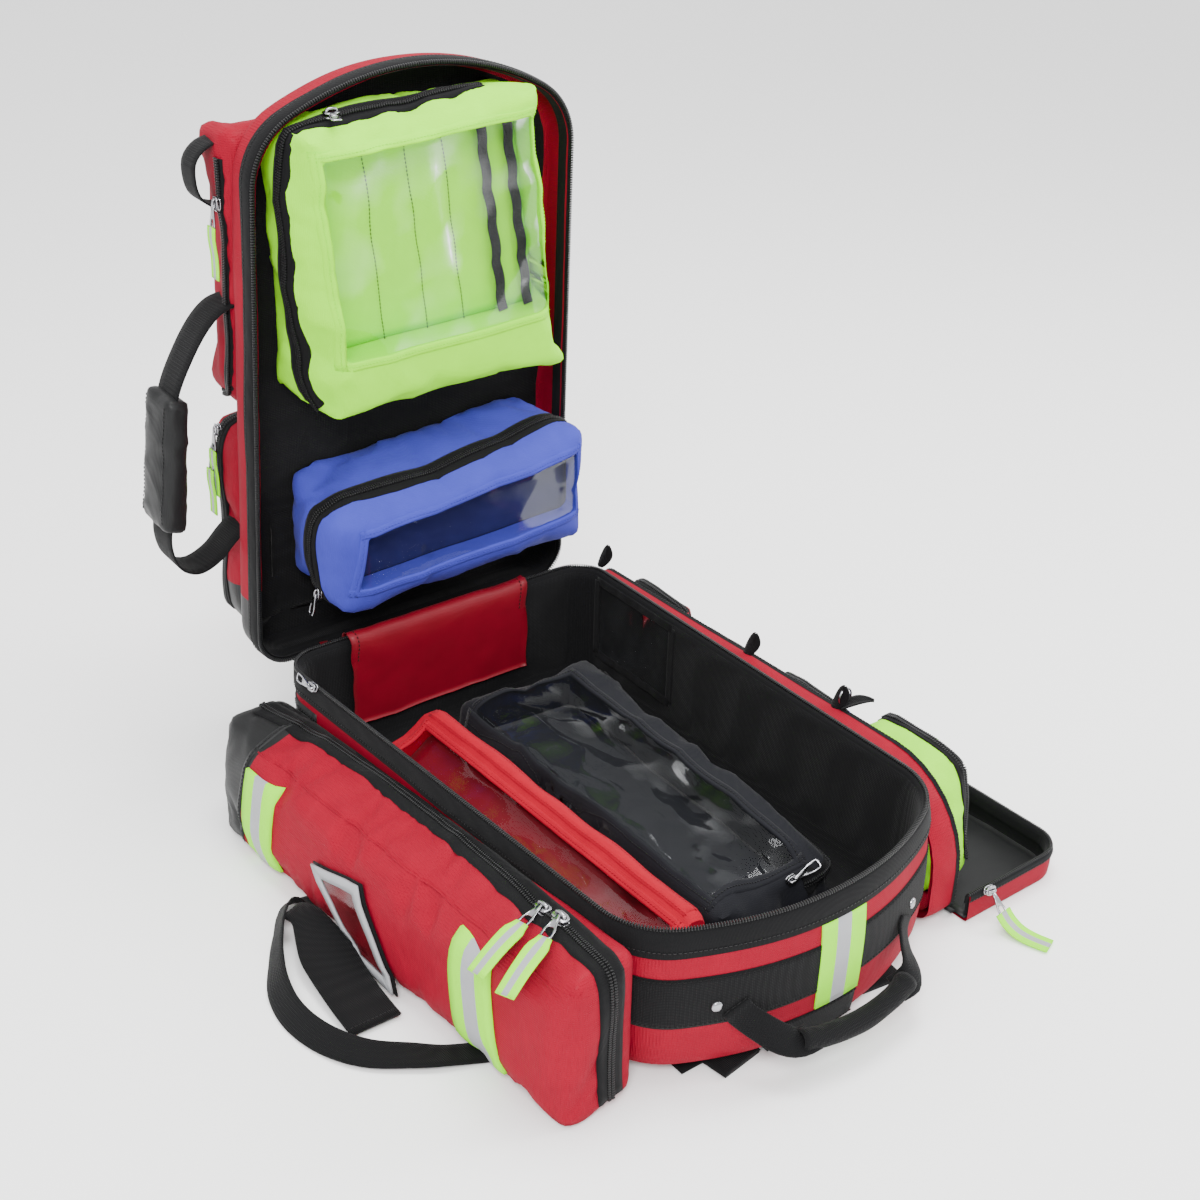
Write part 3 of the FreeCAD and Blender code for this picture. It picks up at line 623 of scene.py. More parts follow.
def inflate(piece, voxel, cap, slack, pressure, held):
    """Swell a soft form with a short cloth simulation. held(point) is how firmly a point is pinned."""
    remesh = piece.modifiers.new("remesh", "REMESH")
    remesh.mode, remesh.voxel_size, remesh.use_smooth_shade = "VOXEL", voxel, True
    apply_modifiers(piece)
    start = [v.co.copy() for v in piece.data.vertices]
    cloth = piece.modifiers.new("cloth", "CLOTH")
    cloth.settings.quality = 5
    cloth.settings.mass = 0.2
    cloth.settings.tension_stiffness = cloth.settings.compression_stiffness = 12
    cloth.settings.bending_stiffness = 0.4
    cloth.settings.use_pressure = True
    cloth.settings.uniform_pressure_force = pressure
    cloth.settings.shrink_min = -slack
    cloth.settings.effector_weights.gravity = 0
    group = piece.vertex_groups.new(name="held")
    for vertex in piece.data.vertices:
        weight = held(vertex.co)
        if weight > 0:
            group.add([vertex.index], weight, "REPLACE")
    cloth.settings.vertex_group_mass = "held"
    scene = bpy.context.scene
    for k in range(1, CLOTH_FRAMES + 1):
        scene.frame_set(k)
    graph = bpy.context.evaluated_depsgraph_get()
    mesh = piece.evaluated_get(graph).to_mesh()
    moved = [v.co.copy() for v in mesh.vertices]
    piece.evaluated_get(graph).to_mesh_clear()
    piece.modifiers.clear()
    scene.frame_set(1)
    for vertex, a, b in zip(piece.data.vertices, start, moved):
        step = b - a
        vertex.co = a + (step if step.length <= cap else step * (cap / step.length))
    smoothing = piece.modifiers.new("smooth", "SMOOTH")
    smoothing.factor, smoothing.iterations = 0.5, 2
    apply_modifiers(piece)
    piece.data.polygons.foreach_set("use_smooth", [True] * len(piece.data.polygons))


def crumple(piece, depth, scale, seed=0.0, sharp=1.0, where=None):
    """Folds in the cloth: ridged noise along the normals."""
    mesh = piece.data
    shift = Vector((seed, seed * 0.7, -seed))
    normals = [v.normal.copy() for v in mesh.vertices]
    for vertex, normal in zip(mesh.vertices, normals):
        share = where(vertex.co) if where else 1.0
        if share > 0:
            ridge = 1 - abs(noise.noise(vertex.co * scale + shift)) * 2
            ripple = noise.noise(vertex.co * scale * 2.3 + shift) * 0.5
            vertex.co += normal * depth * share * (ridge ** 3 * sharp + ripple)
    mesh.update()


def fade(value, start, end):
    """0 at start, 1 at end, smooth between."""
    f = min(1.0, max(0.0, (value - start) / (end - start)))
    return f * f * (3 - 2 * f)


# ---------------------------------------------------------------- the bag's outline
def side_at(y):
    """Half the bag's width at y."""
    return HALF_WIDTH - SIDE_TAPER * (BASE_Y - y)


def half_outline(step):
    """Right half of the plan outline from the middle of the base to the middle of the rounded end."""
    lean = math.atan(SIDE_TAPER)
    crown_y = -BASE_Y + END_CROWN
    stretch = math.hypot(1, SIDE_TAPER)

    gap = side_at(crown_y) - END_CORNER * stretch
    a, b, c = 1 + SIDE_TAPER ** 2, 2 * SIDE_TAPER * gap, gap ** 2 - (END_CROWN - END_CORNER) ** 2
    drop = (-b - math.sqrt(b * b - 4 * a * c)) / (2 * a)
    corner = Vector((side_at(crown_y + drop) - END_CORNER * stretch, crown_y + drop, 0))
    base = Vector((side_at(BASE_Y - BASE_CORNER) - BASE_CORNER, BASE_Y - BASE_CORNER, 0))
    found = []

    def run(start, end, normal):
        count = max(1, round((end - start).length / step))
        found.extend((start.lerp(end, k / count), normal) for k in range(count))

    def arc(centre, radius, first, last):
        count = max(2, round(abs(last - first) * radius / step))
        for k in range(count):
            angle = first + (last - first) * k / count
            normal = Vector((math.cos(angle), math.sin(angle), 0))
            found.append((centre + normal * radius, normal))
    run(Vector((0, BASE_Y, 0)), Vector((base.x, BASE_Y, 0)), Vector((0, 1, 0)))
    arc(base, BASE_CORNER, math.pi / 2, -lean)
    start = base + Vector((math.cos(lean), -math.sin(lean), 0)) * BASE_CORNER
    end = corner + Vector((math.cos(lean), -math.sin(lean), 0)) * END_CORNER
    run(start, end, Vector((math.cos(lean), -math.sin(lean), 0)))
    turn = math.atan2(drop, corner.x)
    arc(corner, END_CORNER, -lean, turn)
    arc(Vector((0, crown_y, 0)), END_CROWN, turn, -math.pi / 2)
    found.append((Vector((0, -BASE_Y, 0)), Vector((0, -1, 0))))
    return found


def full_outline(step=7 * MM):
    """The whole outline, clockwise from the middle of the base, as (point, outward) pairs."""
    right = half_outline(step)
    left = [(Vector((-p.x, p.y, 0)), Vector((-n.x, n.y, 0))) for p, n in reversed(right[1:-1])]
    return right + left


OUTLINE = full_outline()


def bulge(point, z):
    """How far the padded wall stands out: at the rounded end only, so the pockets keep their room."""
    height = (z - shell_low.z) / (BODY_TOP - shell_low.z)
    belly = max(0.0, math.sin(math.pi * min(1.0, max(0.0, height))))
    near = fade(point.y, -0.19, -0.26)
    ripple = noise.noise(Vector((point.x * 9, point.y * 9, z * 14))) * 1.5 * MM
    return near * (belly ** 0.7 * 5.5 * MM + ripple)


def wall_point(pair, z, lift=0.0):
    point, outward = pair
    return Vector((point.x, point.y, z)) + outward * (bulge(point, z) + lift)


def wall_ring(z, lift):
    return [wall_point(pair, z, lift) for pair in OUTLINE]


def wall_band(name, keep, z_low, z_high, lift, replaces):
    """A strip of webbing sewn round the wall where keep(point) is true."""
    inside = [keep(p) for p, _ in OUTLINE]
    start = next(i for i in range(len(OUTLINE)) if inside[i] and not inside[i - 1])
    run = []
    while inside[(start + len(run)) % len(OUTLINE)] and len(run) < len(OUTLINE):
        run.append(OUTLINE[(start + len(run)) % len(OUTLINE)])
    levels = [z_low + (z_high - z_low) * k / 8 for k in range(9)]
    rows = [[wall_point(pair, z, lift) for z in levels] for pair in run]
    outs = [pair[1] for pair in run]
    parts = [skirted(rows, outs)]
    for inner, edge in ((1, 0), (7, 8)):
        parts.append((*stitch_row([row[inner].lerp(row[edge], 0.6) for row in rows], outs), 1))
    return assemble(name, parts, [WEBBING, THREAD_DARK], "body", "webbing_black", replaces)


# ---------------------------------------------------------------- main compartment
def add_walls():
    """Outer wall and floor in red nylon, inner wall and floor in black knit."""
    profile = [(-150, 9), (-60, 8.5), (-14, 8.6), (-5, 10.5), (-1.2, 15), (0, 23), (0.4, 40), (0.4, 60), (0.4, 80),
               (0.4, 100), (0.2, 118), (0, 132), (-0.4, 144), (-1.2, 149), (-3.2, 151)]
    rows = [wall_ring(z * MM, offset * MM) for offset, z in profile]
    verts, faces = sheet_grid(rows, close_columns=True)
    faces.append(tuple(range(len(OUTLINE))))
    build("body_wall", verts, faces, RED, "body", "shell_red", ["body_shell"])

    inner = [(-3.4, 151), (-6.0, 149), (-6.8, 140), (-7.2, 120), (-7.4, 95), (-7.6, 65), (-8.4, 38), (-12, 25),
             (-20, 17.5),
             (-40, 15.4), (-80, 15), (-150, 15)]
    rows = []
    for offset, z in inner:
        row = []
        for point, outward in OUTLINE:
            wrinkle = noise.noise(Vector((point.x * 16, point.y * 16, z * MM * 11)))
            fold = 1 - abs(noise.noise(Vector((point.x * 30, point.y * 30, z * MM * 6 + 4)))) * 2
            deep = fade(-offset, 5, 9) * (wrinkle * 1.3 + max(0.0, fold) ** 3 * 1.0) * MM
            place = Vector((point.x, point.y, z * MM)) + outward * (offset * MM - deep * 0.8)
            place.z += deep * fade(-offset, 15, 40) * 0.9
            row.append(place)
        rows.append(row)
    verts, faces = sheet_grid(rows, close_columns=True)
    faces.append(tuple(len(verts) - len(OUTLINE) + k for k in range(len(OUTLINE))))
    build("body_lining_knit", verts, faces, KNIT, "body", "lining_black", ["body_lining"])


def rim_tape(name, place, body, replaces, flare, reach, width):
    """The tape and coil that go all round a rim. place(pair, offset, level) gives points."""
    rows, crown, ups = [], [], []
    for pair in OUTLINE:
        sag = noise.noise(Vector((pair[0].x * 12, pair[0].y * 12, 0.5))) * 0.8 * MM
        rows.append([place(pair, flare + sag * 2, -width), place(pair, flare + 1.1 * MM + sag, -width * 0.55),
                     place(pair, flare + 0.5 * MM + sag, -width * 0.15), place(pair, flare - 1.2 * MM, -0.8 * MM),
                     place(pair, flare - 3.4 * MM, -1.2 * MM), place(pair, flare - 6.2 * MM, -3.4 * MM),
                     place(pair, flare - 7.6 * MM, -reach)])
        crown.append(place(pair, flare - 1.6 * MM, 0.1 * MM))
        ups.append(place(pair, flare - 1.6 * MM, 1 * MM) - place(pair, flare - 1.6 * MM, 0))
    verts, faces = sheet_grid(rows, close_rows=True)
    crown.append(crown[0].copy())
    ups = [u.normalized() for u in ups + ups[:1]]
    parts = [(verts, faces, 0), (*teeth(crown, ups, height=2.2 * MM, width=4.0 * MM), 1)]
    for level in (1, 4):
        line = [row[level].lerp(row[level - 1], 0.45) for row in rows]
        outs = [pair[1] for pair in OUTLINE]
        parts.append((*stitch_row(line + line[:1], outs + outs[:1], 0.5 * MM), 1))
    return assemble(name, parts, [TAPE, COIL], body, "zip_black", replaces)


def add_body_rim():
    def place(pair, offset, level):
        return wall_point(pair, RIM + level, offset)
    rim_tape("body_rim_zip", place, "body", ["body_zip"], 1.2 * MM, 16 * MM, 27 * MM)


def add_near_end():
    """Black band, reflective strip and handle patch on the rounded end."""
    band_low, band_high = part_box("near_end_band")
    wall_band("near_band_black", lambda p: p.y < -0.13 and p.x > -0.2, band_low.z, band_high.z, 1.0 * MM,
              ["near_end_band"])
    strip_low, strip_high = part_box("front_reflective_strip")
    near = [pair for pair in full_outline(2 * MM)
            if pair[0].y < 0 and strip_low.x - 1 * MM <= pair[0].x <= strip_high.x]
    levels = [strip_low.z + (BODY_TOP - 24 * MM - strip_low.z) * k / 12 for k in range(13)]
    rows = [[wall_point(pair, z, 2.0 * MM) for z in levels] for pair in near]
    verts, faces, _ = skirted(rows, [pair[1] for pair in near])
    across = len(near) - 1
    index = []
    for i in range(len(faces)):
        share = (i // (len(levels) + 1) - 1) / across
        index.append(1 if 0.34 < share < 0.66 else 0)
    build("front_strip_reflective", verts, faces, [LIME, SILVER], "body", "reflective_tape",
          ["front_reflective_strip"], index)
    patch_low, patch_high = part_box("handle_patch")
    wall_band("handle_patch_webbing", lambda p: p.y < 0 and patch_low.x <= p.x <= patch_high.x, patch_low.z,
              patch_high.z, 1.4 * MM, ["handle_patch"])


def split_material(piece, place, direction, material):
    """Give the faces past a plane another material, with a clean edge along it."""
    piece.data.materials.append(material)
    form = bmesh.new()
    form.from_mesh(piece.data)
    place, direction = Vector(place), Vector(direction).normalized()
    bmesh.ops.bisect_plane(form, geom=form.verts[:] + form.edges[:] + form.faces[:], plane_co=place,
                           plane_no=direction)
    for face in form.faces:
        if (face.calc_center_median() - place).dot(direction) > 0:
            face.material_index = len(piece.data.materials) - 1
    form.to_mesh(piece.data)
    form.free()
    piece.data.update()


def ribbon(name, points, ups, width, materials, body, slot, thick=1.4 * MM, columns=None, replaces=(), step=5 * MM,
           widths=None):
    """A free strap or tape: a smooth route with directions of its face, and coloured columns if given."""
    line, faces_up = route_on(points, ups, step)
    shares = columns or [(0.25, 0)] * 4
    offsets, index, at = [-width / 2], [], -width / 2
    for share, which in shares:
        at += share * width
        offsets.append(at)
        index.append(which)
    edge = thick * 0.4
    section = ([(offsets[0] - edge, 0)] + [(o, thick / 2) for o in offsets] + [(offsets[-1] + edge, 0)]
               + [(o, -thick / 2) for o in reversed(offsets)])
    verts, faces = sweep(line, faces_up, section, widths=widths)
    around = [index[0], *index, index[-1], index[-1], *reversed(index), index[0]]
    indices = [around[i % len(section)] for i in range(len(faces) - 2)] + [index[0]] * 2
    return build(name, verts, faces, materials, body, slot, replaces, indices)


LIME_SILVER_LIME = [(0.16, 0), (0.17, 0), (0.17, 1), (0.17, 1), (0.17, 0), (0.16, 0)]


# ---------------------------------------------------------------- zip hardware
def slider_parts(place, along, up, size=1.0):
    """A cast zip slider: two plates that narrow to the tail, a neck and a bridge."""
    side = along.cross(up).normalized()
    parts = []
    for level in (0.2, 3.4):
        outline = [(-6.5, 2.6), (-4.5, 4.2), (2, 4.6), (6, 3.2), (7, 0), (6, -3.2), (2, -4.6), (-4.5, -4.2),
                   (-6.5, -2.6)]
        rows = []
        for height, grow in ((0, 0.9), (0.3, 1.0), (1.1, 1.0), (1.4, 0.88)):
            rows.append([place + (along * x * grow + side * w * grow + up * (level + height)) * size * MM
                         for x, w in outline])
        verts, faces = sheet_grid(rows, close_columns=True)
        count = len(outline)
        faces += [tuple(range(count)), tuple(3 * count + k for k in reversed(range(count)))]
        parts.append((verts, faces, 0))
    parts.append((*little_box(place + (along * 3.4 + up * 2.6) * size * MM, along, side, up, 4 * size * MM,
                              2.4 * size * MM, 3 * size * MM), 0))
    profile = ((-4.6, 4.4), (-4.0, 6.2), (-1.5, 7.0), (1.5, 7.0), (4.0, 6.2), (4.6, 4.4))
    arch = [place + (along * x + up * z) * size * MM for x, z in profile]
    line = smooth_line(arch, 1 * MM)
    parts.append((*sweep(line, side, round_section(1.0 * size * MM, 8, 1.5)), 0))
    return parts


def pull_parts(root, along, up, length=26 * MM, width=9 * MM):
    """A flat zip pull: a narrow neck that widens to an eye for the tag."""
    side = along.cross(up).normalized()
    half = width / 2
    thick = 0.8 * MM
    outline = [(0, 1.6 * MM), (length * 0.18, 2.4 * MM), (length * 0.5, half * 0.8), (length * 0.62, half),
               (length - 2 * MM, half), (length, half - 2 * MM)]
    outline += [(x, -w) for x, w in reversed(outline)]
    eye = [(length * 0.52, 1.9 * MM), (length * 0.58, half * 0.58), (length * 0.7, half * 0.62),
           (length - 3.2 * MM, half * 0.62), (length - 2.4 * MM, half * 0.4), (length - 2.2 * MM, 1.0 * MM)]
    eye += [(x, -w) for x, w in reversed(eye)]
    rows = []
    for ring, height, grow in ((eye, thick, 1), (outline, thick, 0.93), (outline, thick * 0.5, 1),
                               (outline, -thick * 0.5, 1), (outline, -thick, 0.93), (eye, -thick, 1)):
        middle = length / 2
        rows.append([root + along * (middle + (x - middle) * grow) + side * w * grow + up * height for x, w in ring])
    verts, faces = sheet_grid(rows, close_rows=True, close_columns=True)
    return [(verts, faces, 0)]


def add_slider(name, place, along, up, body, replaces=(), size=1.0):
    return assemble(name, slider_parts(Vector(place), Vector(along).normalized(), Vector(up).normalized(), size),
                    NICKEL, body, "metal_nickel", replaces)


def add_pull(name, root, along, up, body, length=26 * MM, width=9 * MM, replaces=()):
    return assemble(name, pull_parts(Vector(root), Vector(along).normalized(), Vector(up).normalized(), length,
                                     width), NICKEL, body, "metal_nickel", replaces)


# ---------------------------------------------------------------- closed side pocket
POCKET_FALL = (0.150 - 0.118) / (POCKET_HIGH.y - POCKET_LOW.y)


def pocket_top(y):
    return POCKET_HIGH.z - (y - POCKET_LOW.y) * POCKET_FALL


def add_left_pocket():
    near, far = POCKET_LOW.y, POCKET_HIGH.y
    out = POCKET_LOW.x
    low = 3 * MM
    base = [(out, near - 2 * MM, low), (-side_at(near) - 1 * MM, near + 4 * MM, low),
            (-side_at(far) - 1 * MM, far - 4 * MM, low), (out - 28 * MM, far - 25 * MM, low)]
    top = [(out + 10 * MM, near + 5 * MM, pocket_top(near) - 9 * MM),
           (-side_at(near) - 1 * MM, near + 5 * MM, pocket_top(near) - 3 * MM),
           (-side_at(far) - 1 * MM, far - 5 * MM, pocket_top(far) - 2 * MM),
           (out - 2 * MM, far - 1 * MM, pocket_top(far) - 7 * MM)]
    pocket = soft_box("left_pocket_shell", base, top, 9 * MM, RED)
    inflate(pocket, 6 * MM, 11 * MM, 0.05, 6.0,
            lambda p: 1.0 if p.x > -side_at(p.y) - 8 * MM or p.z < 7 * MM else 0.0)
    crumple(pocket, 1.2 * MM, 13, 2.0, where=lambda p: 1 - fade(p.x, -0.21, -0.195))
    for vertex in pocket.data.vertices:
        vertex.co.z = max(vertex.co.z, 1.2 * MM)
        vertex.co.x = min(vertex.co.x, -side_at(vertex.co.y) - 0.5 * MM)
    wrap = BASE_Y - 64 * MM
    split_material(pocket, (0, wrap, 0), (0, 1, 0.06), GUARD)
    settle(pocket, "body", "shell_red", ["left_pocket", "body_base_guard"])
    skin = Surface(pocket)
    add_pocket_trim(skin, near, far, out, wrap)
    add_base_guard(wrap)


def add_pocket_trim(skin, near, far, out, wrap):
    zip_x = out + 44 * MM
    route = [(zip_x - 14 * MM, far - 12 * MM, pocket_top(far)), (zip_x + 4 * MM, far - 120 * MM, 0.13),
             (zip_x + 10 * MM, 0.02, 0.14), (zip_x + 4 * MM, near + 90 * MM, 0.148), (zip_x, near + 24 * MM, 0.15),
             (zip_x, near + 4 * MM, 0.142), (zip_x, near, 0.118), (zip_x + 1 * MM, near, 0.07), (zip_x + 2 * MM,
                     near, 0.012)]
    outs = [(0, 0, 1)] * 4 + [(0, -0.25, 1), (0, -1, 1), (0, -1, 0.15), SOUTH, SOUTH]
    laid_zip("left_pocket_coil_zip", skin, route, outs, "body", width=27 * MM, replaces=["left_pocket_zip"],
             step=6 * MM)
    for word, y, slide_body in (("rear", -0.160, "left_pull_rear"), ("front", -0.184, "left_pull_front")):
        add_pocket_pull(skin, word, y, zip_x, slide_body)
    tape_low, tape_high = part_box("left_pocket_reflective_strips")
    for index, y in enumerate((tape_low.y + 25 * MM, tape_high.y - 25 * MM)):
        lean = (10 if index == 0 else 5) * MM
        route = [(out, y - lean, 6 * MM), (out, y, 45 * MM), (out, y + lean, 90 * MM),
                 (out, y + lean, pocket_top(y) - 30 * MM)]
        laid_strip(f"left_pocket_tape_{index}", skin, route, WEST, 54 * MM, [LIME, SILVER, THREAD_DARK], "body",
                   "reflective_tape", 3.4 * MM, LIME_SILVER_LIME,
                   ["left_pocket_reflective_strips"] if index == 0 else ())
    seam = [(out, y, pocket_top(y) - 19 * MM) for y in (near + 16 * MM, -0.1, 0.05, wrap - 4 * MM)]
    line, ups = route_on(seam, WEST)
    line = [skin.under(p, Vector((-1, 0, 0.5)).normalized()) for p in line]
    parts = [(*sweep(line, ups, round_section(1.0 * MM, 6)), 0),
             (*stitch_row([p - UP * 3.5 * MM for p in line], ups, 0.2 * MM), 0)]
    assemble("left_pocket_seam", parts, RED, "body", "shell_red")
    hem = [(p[0], wrap + 2 * MM, p[1]) for p in ((out + 60 * MM, 0.1), (out + 32 * MM, 0.125), (out + 8 * MM, 0.112),
                                                 (out, 0.08),
                                              (out, 0.04), (out + 2 * MM, 0.006))]
    line, ups = route_on(hem, [(0, 0, 1), (0, 0, 1), (-1, 0, 1), WEST, WEST, WEST], 5 * MM)
    verts, faces, _ = skirted(laid_rows(skin, line, ups, [-3 * MM, 0, 3 * MM], 0.9 * MM), ups)
    parts = [(verts, faces, 0), (*stitch_row([skin.under(p, u) for p, u in zip(line, ups)], ups, 1.2 * MM), 1)]
    assemble("left_pocket_guard_hem", parts, [GUARD, COIL], "body", "guard_black")
    add_id_window(skin, out)


def add_pocket_pull(skin, word, y, zip_x, slide_body):
    """A slider on the pocket's zip, its pull and the stiff reflective tag that sticks out over the edge."""
    at = skin.under(Vector((zip_x + 4 * MM, y, 0.15)), UP) + UP * 1.0 * MM
    add_slider(f"left_slider_{word}_cast", at, (0, 1 if word == "rear" else -1, -0.05), (0, 0, 1), slide_body,
               [f"left_slider_{word}"], 1.25)
    tag_body = f"left_pull_tag_{word}"
    slant = 8 * MM if word == "rear" else 15 * MM
    root = at + Vector((-1.5 * MM, 0, 8 * MM))
    edge = root + Vector((-27 * MM, -slant, -3 * MM))
    add_pull(f"left_pull_{word}_plate", root, edge - root, (-0.1, 0, 1), tag_body, 30 * MM, 11 * MM)
    route = [edge + Vector((2 * MM, 0, 0.8 * MM)), edge + Vector((-14 * MM, -0.4 * slant, -2 * MM)),
             edge + Vector((-32 * MM, -0.8 * slant, -9 * MM)), edge + Vector((-50 * MM, -1.2 * slant, -19 * MM))]
    ups = [(-0.1, 0, 1), (-0.25, 0, 1), (-0.45, 0.05, 1), (-0.6, 0.1, 1)]
    ribbon(f"left_tag_{word}_tape", route, ups, 19 * MM, [LIME, SILVER], tag_body, "reflective_tape", 2.4 * MM,
           LIME_SILVER_LIME, [f"left_tag_{word}"], widths=lambda f: 0.62 + 0.38 * fade(f, 0, 0.22))


def add_id_window(skin, out):
    """The name window, a hanging flap: black backing, a clear pane over burgundy, and a silver frame."""
    corners = [Vector(p) for p in ((out - 2 * MM, 91 * MM, 67 * MM), (out - 2 * MM, 18 * MM, 84 * MM),
                                   (out - 25 * MM, -46 * MM, 8 * MM), (out - 25 * MM, 12 * MM, 7 * MM))]
    a, b, c, d = corners

    def place(across, down, lift):
        spot = a.lerp(b, across).lerp(d.lerp(c, across), down)
        wall = skin.under(Vector((out, spot.y, max(spot.z, 14 * MM))), WEST)
        bow = 5 * MM * math.sin(math.pi * down)
        return Vector((min(spot.x - bow * 0.4, wall.x - 3 * MM), spot.y, spot.z)) + WEST * lift

    def panel(name, inset_side, inset_end, lift, material, slot, replaces=(), shift=0.0):
        rows = [[place(inset_side + (1 - 2 * inset_side) * i / 8 + shift, inset_end + (1 - 2 * inset_end) * j / 12,
                       lift)
                 for i in range(9)] for j in range(13)]
        return build(name, *skirted(rows, WEST, 1.5 * MM)[:2], material, "body", slot, replaces)
    panel("id_backing", -0.02, -0.01, 0.6 * MM, WEBBING, "webbing_black", shift=0.02)
    panel("id_card_cloth", 0.06, 0.05, 2.0 * MM, BURGUNDY, "hinge_burgundy")
    panel("id_pane", 0.08, 0.06, 3.2 * MM, CLEAR, "clear_vinyl", ["id_window"])
    rows = []
    for side, end, lift in ((0, 0, 2.0), (0.01, 0.007, 4.0), (0.15, 0.105, 4.0), (0.16, 0.112, 2.0)):
        s0, s1, e0, e1 = side, 1 - side, end, 1 - end
        loop = ([(s0 + (s1 - s0) * k / 8, e0) for k in range(8)] + [(s1, e0 + (e1 - e0) * k / 12) for k in range(12)]
                + [(s1 - (s1 - s0) * k / 8, e1) for k in range(8)] + [(s0,
                                                                       e1 - (e1 - e0) * k / 12) for k in range(12)])
        rows.append([place(x, y, lift * MM) for x, y in loop])
    build("id_frame_silver", *sheet_grid(rows, close_rows=True, close_columns=True), SILVER, "body", "silver_trim",
          ["id_window_frame"])


def add_base_guard(wrap):
    """Coated cloth on the outside of the base wall, between the side pockets."""
    low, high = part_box("body_base_guard")
    levels = [low.z + 2 * MM + (high.z + 8 * MM - low.z) * k / 9 for k in range(10)]
    run = [pair for pair in OUTLINE if pair[0].y > wrap - 6 * MM]
    start = max(range(len(run)), key=lambda i: (run[i][0] - run[i - 1][0]).length)
    run = run[start:] + run[:start]
    rows = [[wall_point(pair, z, 1.6 * MM + noise.noise(Vector((pair[0].x * 14, 2,
                                                                z * 12))) * 1.2 * MM) for z in levels]
            for pair in run]
    outs = [pair[1] for pair in run]
    parts = [skirted(rows, outs),
             (*stitch_row([row[-2].lerp(row[-1], 0.5) for row in rows], outs), 1)]
    assemble("base_guard_cloth", parts, [GUARD, COIL], "body", "guard_black")


# ---------------------------------------------------------------- side handle
def add_side_handle():
    route = [(-262, 112, 3), (-280, 116, 8), (-297, 109, 15), (-316, 86, 16), (-337, 54, 12), (-354, 18, 10),
             (-360, -20, 9),
             (-353, -60, 9), (-334, -94, 9), (-304, -118, 8), (-280, -133, 6), (-240, -150, 2)]
    ups = [(0, 0, 1), (0.2, 0.5, 1), (-0.6, 0.9, 0.7), (-1, 0.5, 0.5), (-1, 0.5, 0.7), (-0.8, 0.2, 1), (-0.7, 0, 1),
           (-0.6, -0.2, 1),
           (-0.3, -0.3, 1), (-0.1, -0.2, 1), (0, 0, 1), (0, 0, 1)]
    loop = ribbon("side_handle_loop", [Vector(p) * MM for p in route], ups, 24 * MM, WEBBING, None, "webbing_black",
                  2.0 * MM,
                  replaces=["side_handle_webbing"])
    tab = [(-300, 92, 23), (-295, 76, 25), (-297, 52, 21), (-301, 22, 15), (-304, -8, 10), (-306, -38, 7),
           (-307, -66, 5.5)]
    ups = [(-0.3, 0.8, 0.5), (-0.3, 0.3, 1), (-0.2, -0.3, 1), (-0.1, -0.2, 1), (0, -0.1, 1), (0, 0, 1), (0, 0.1, 1)]
    points = [Vector(p) * MM for p in tab]
    wrap = ribbon("side_handle_wrap_tab", points, ups, 47 * MM, WEBBING, None, "webbing_black", 3.2 * MM,
                  replaces=["side_handle_tab"], widths=lambda f: 0.5 + 0.5 * fade(f, 0.0, 0.45))
    ends = [points[-1] + Vector((x * MM, 6 * MM, 1.8 * MM)) for x in (-20, -10, 0, 10, 20)]
    verts, faces = stitch_row(ends, UP)
    stitches = build("side_tab_stitching", verts, faces, COIL, None, "webbing_black")
    for piece in (loop, wrap, stitches):
        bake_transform(piece)


# ---------------------------------------------------------------- lid
def lid(x, u, t):
    """A point of the lid, in millimetres: x across, u up from its base edge, t outwards from its rim plane."""
    y = BASE_Y - u * MM - HINGE.y
    z = LID_PLANE + t * MM - HINGE.z
    turn, lean = math.cos(OPEN_ANGLE), math.sin(OPEN_ANGLE)
    return Vector((x * MM, HINGE.y + y * turn + z * lean, HINGE.z - y * lean + z * turn))


LID_OUT = (lid(0, 0, 1) - lid(0, 0, 0)).normalized()
LID_UP = (lid(0, 1, 0) - lid(0, 0, 0)).normalized()


def on_lid(pair, offset, t):
    """A point of the lid's outline, moved outwards by offset, in metres, at a height of t millimetres."""
    point, outward = pair
    place = point + outward * offset
    return lid(place.x / MM, (BASE_Y - place.y) / MM, t)


def lid_direction(x, u, t):
    return (lid(x, u, t) - lid(0, 0, 0)).normalized()


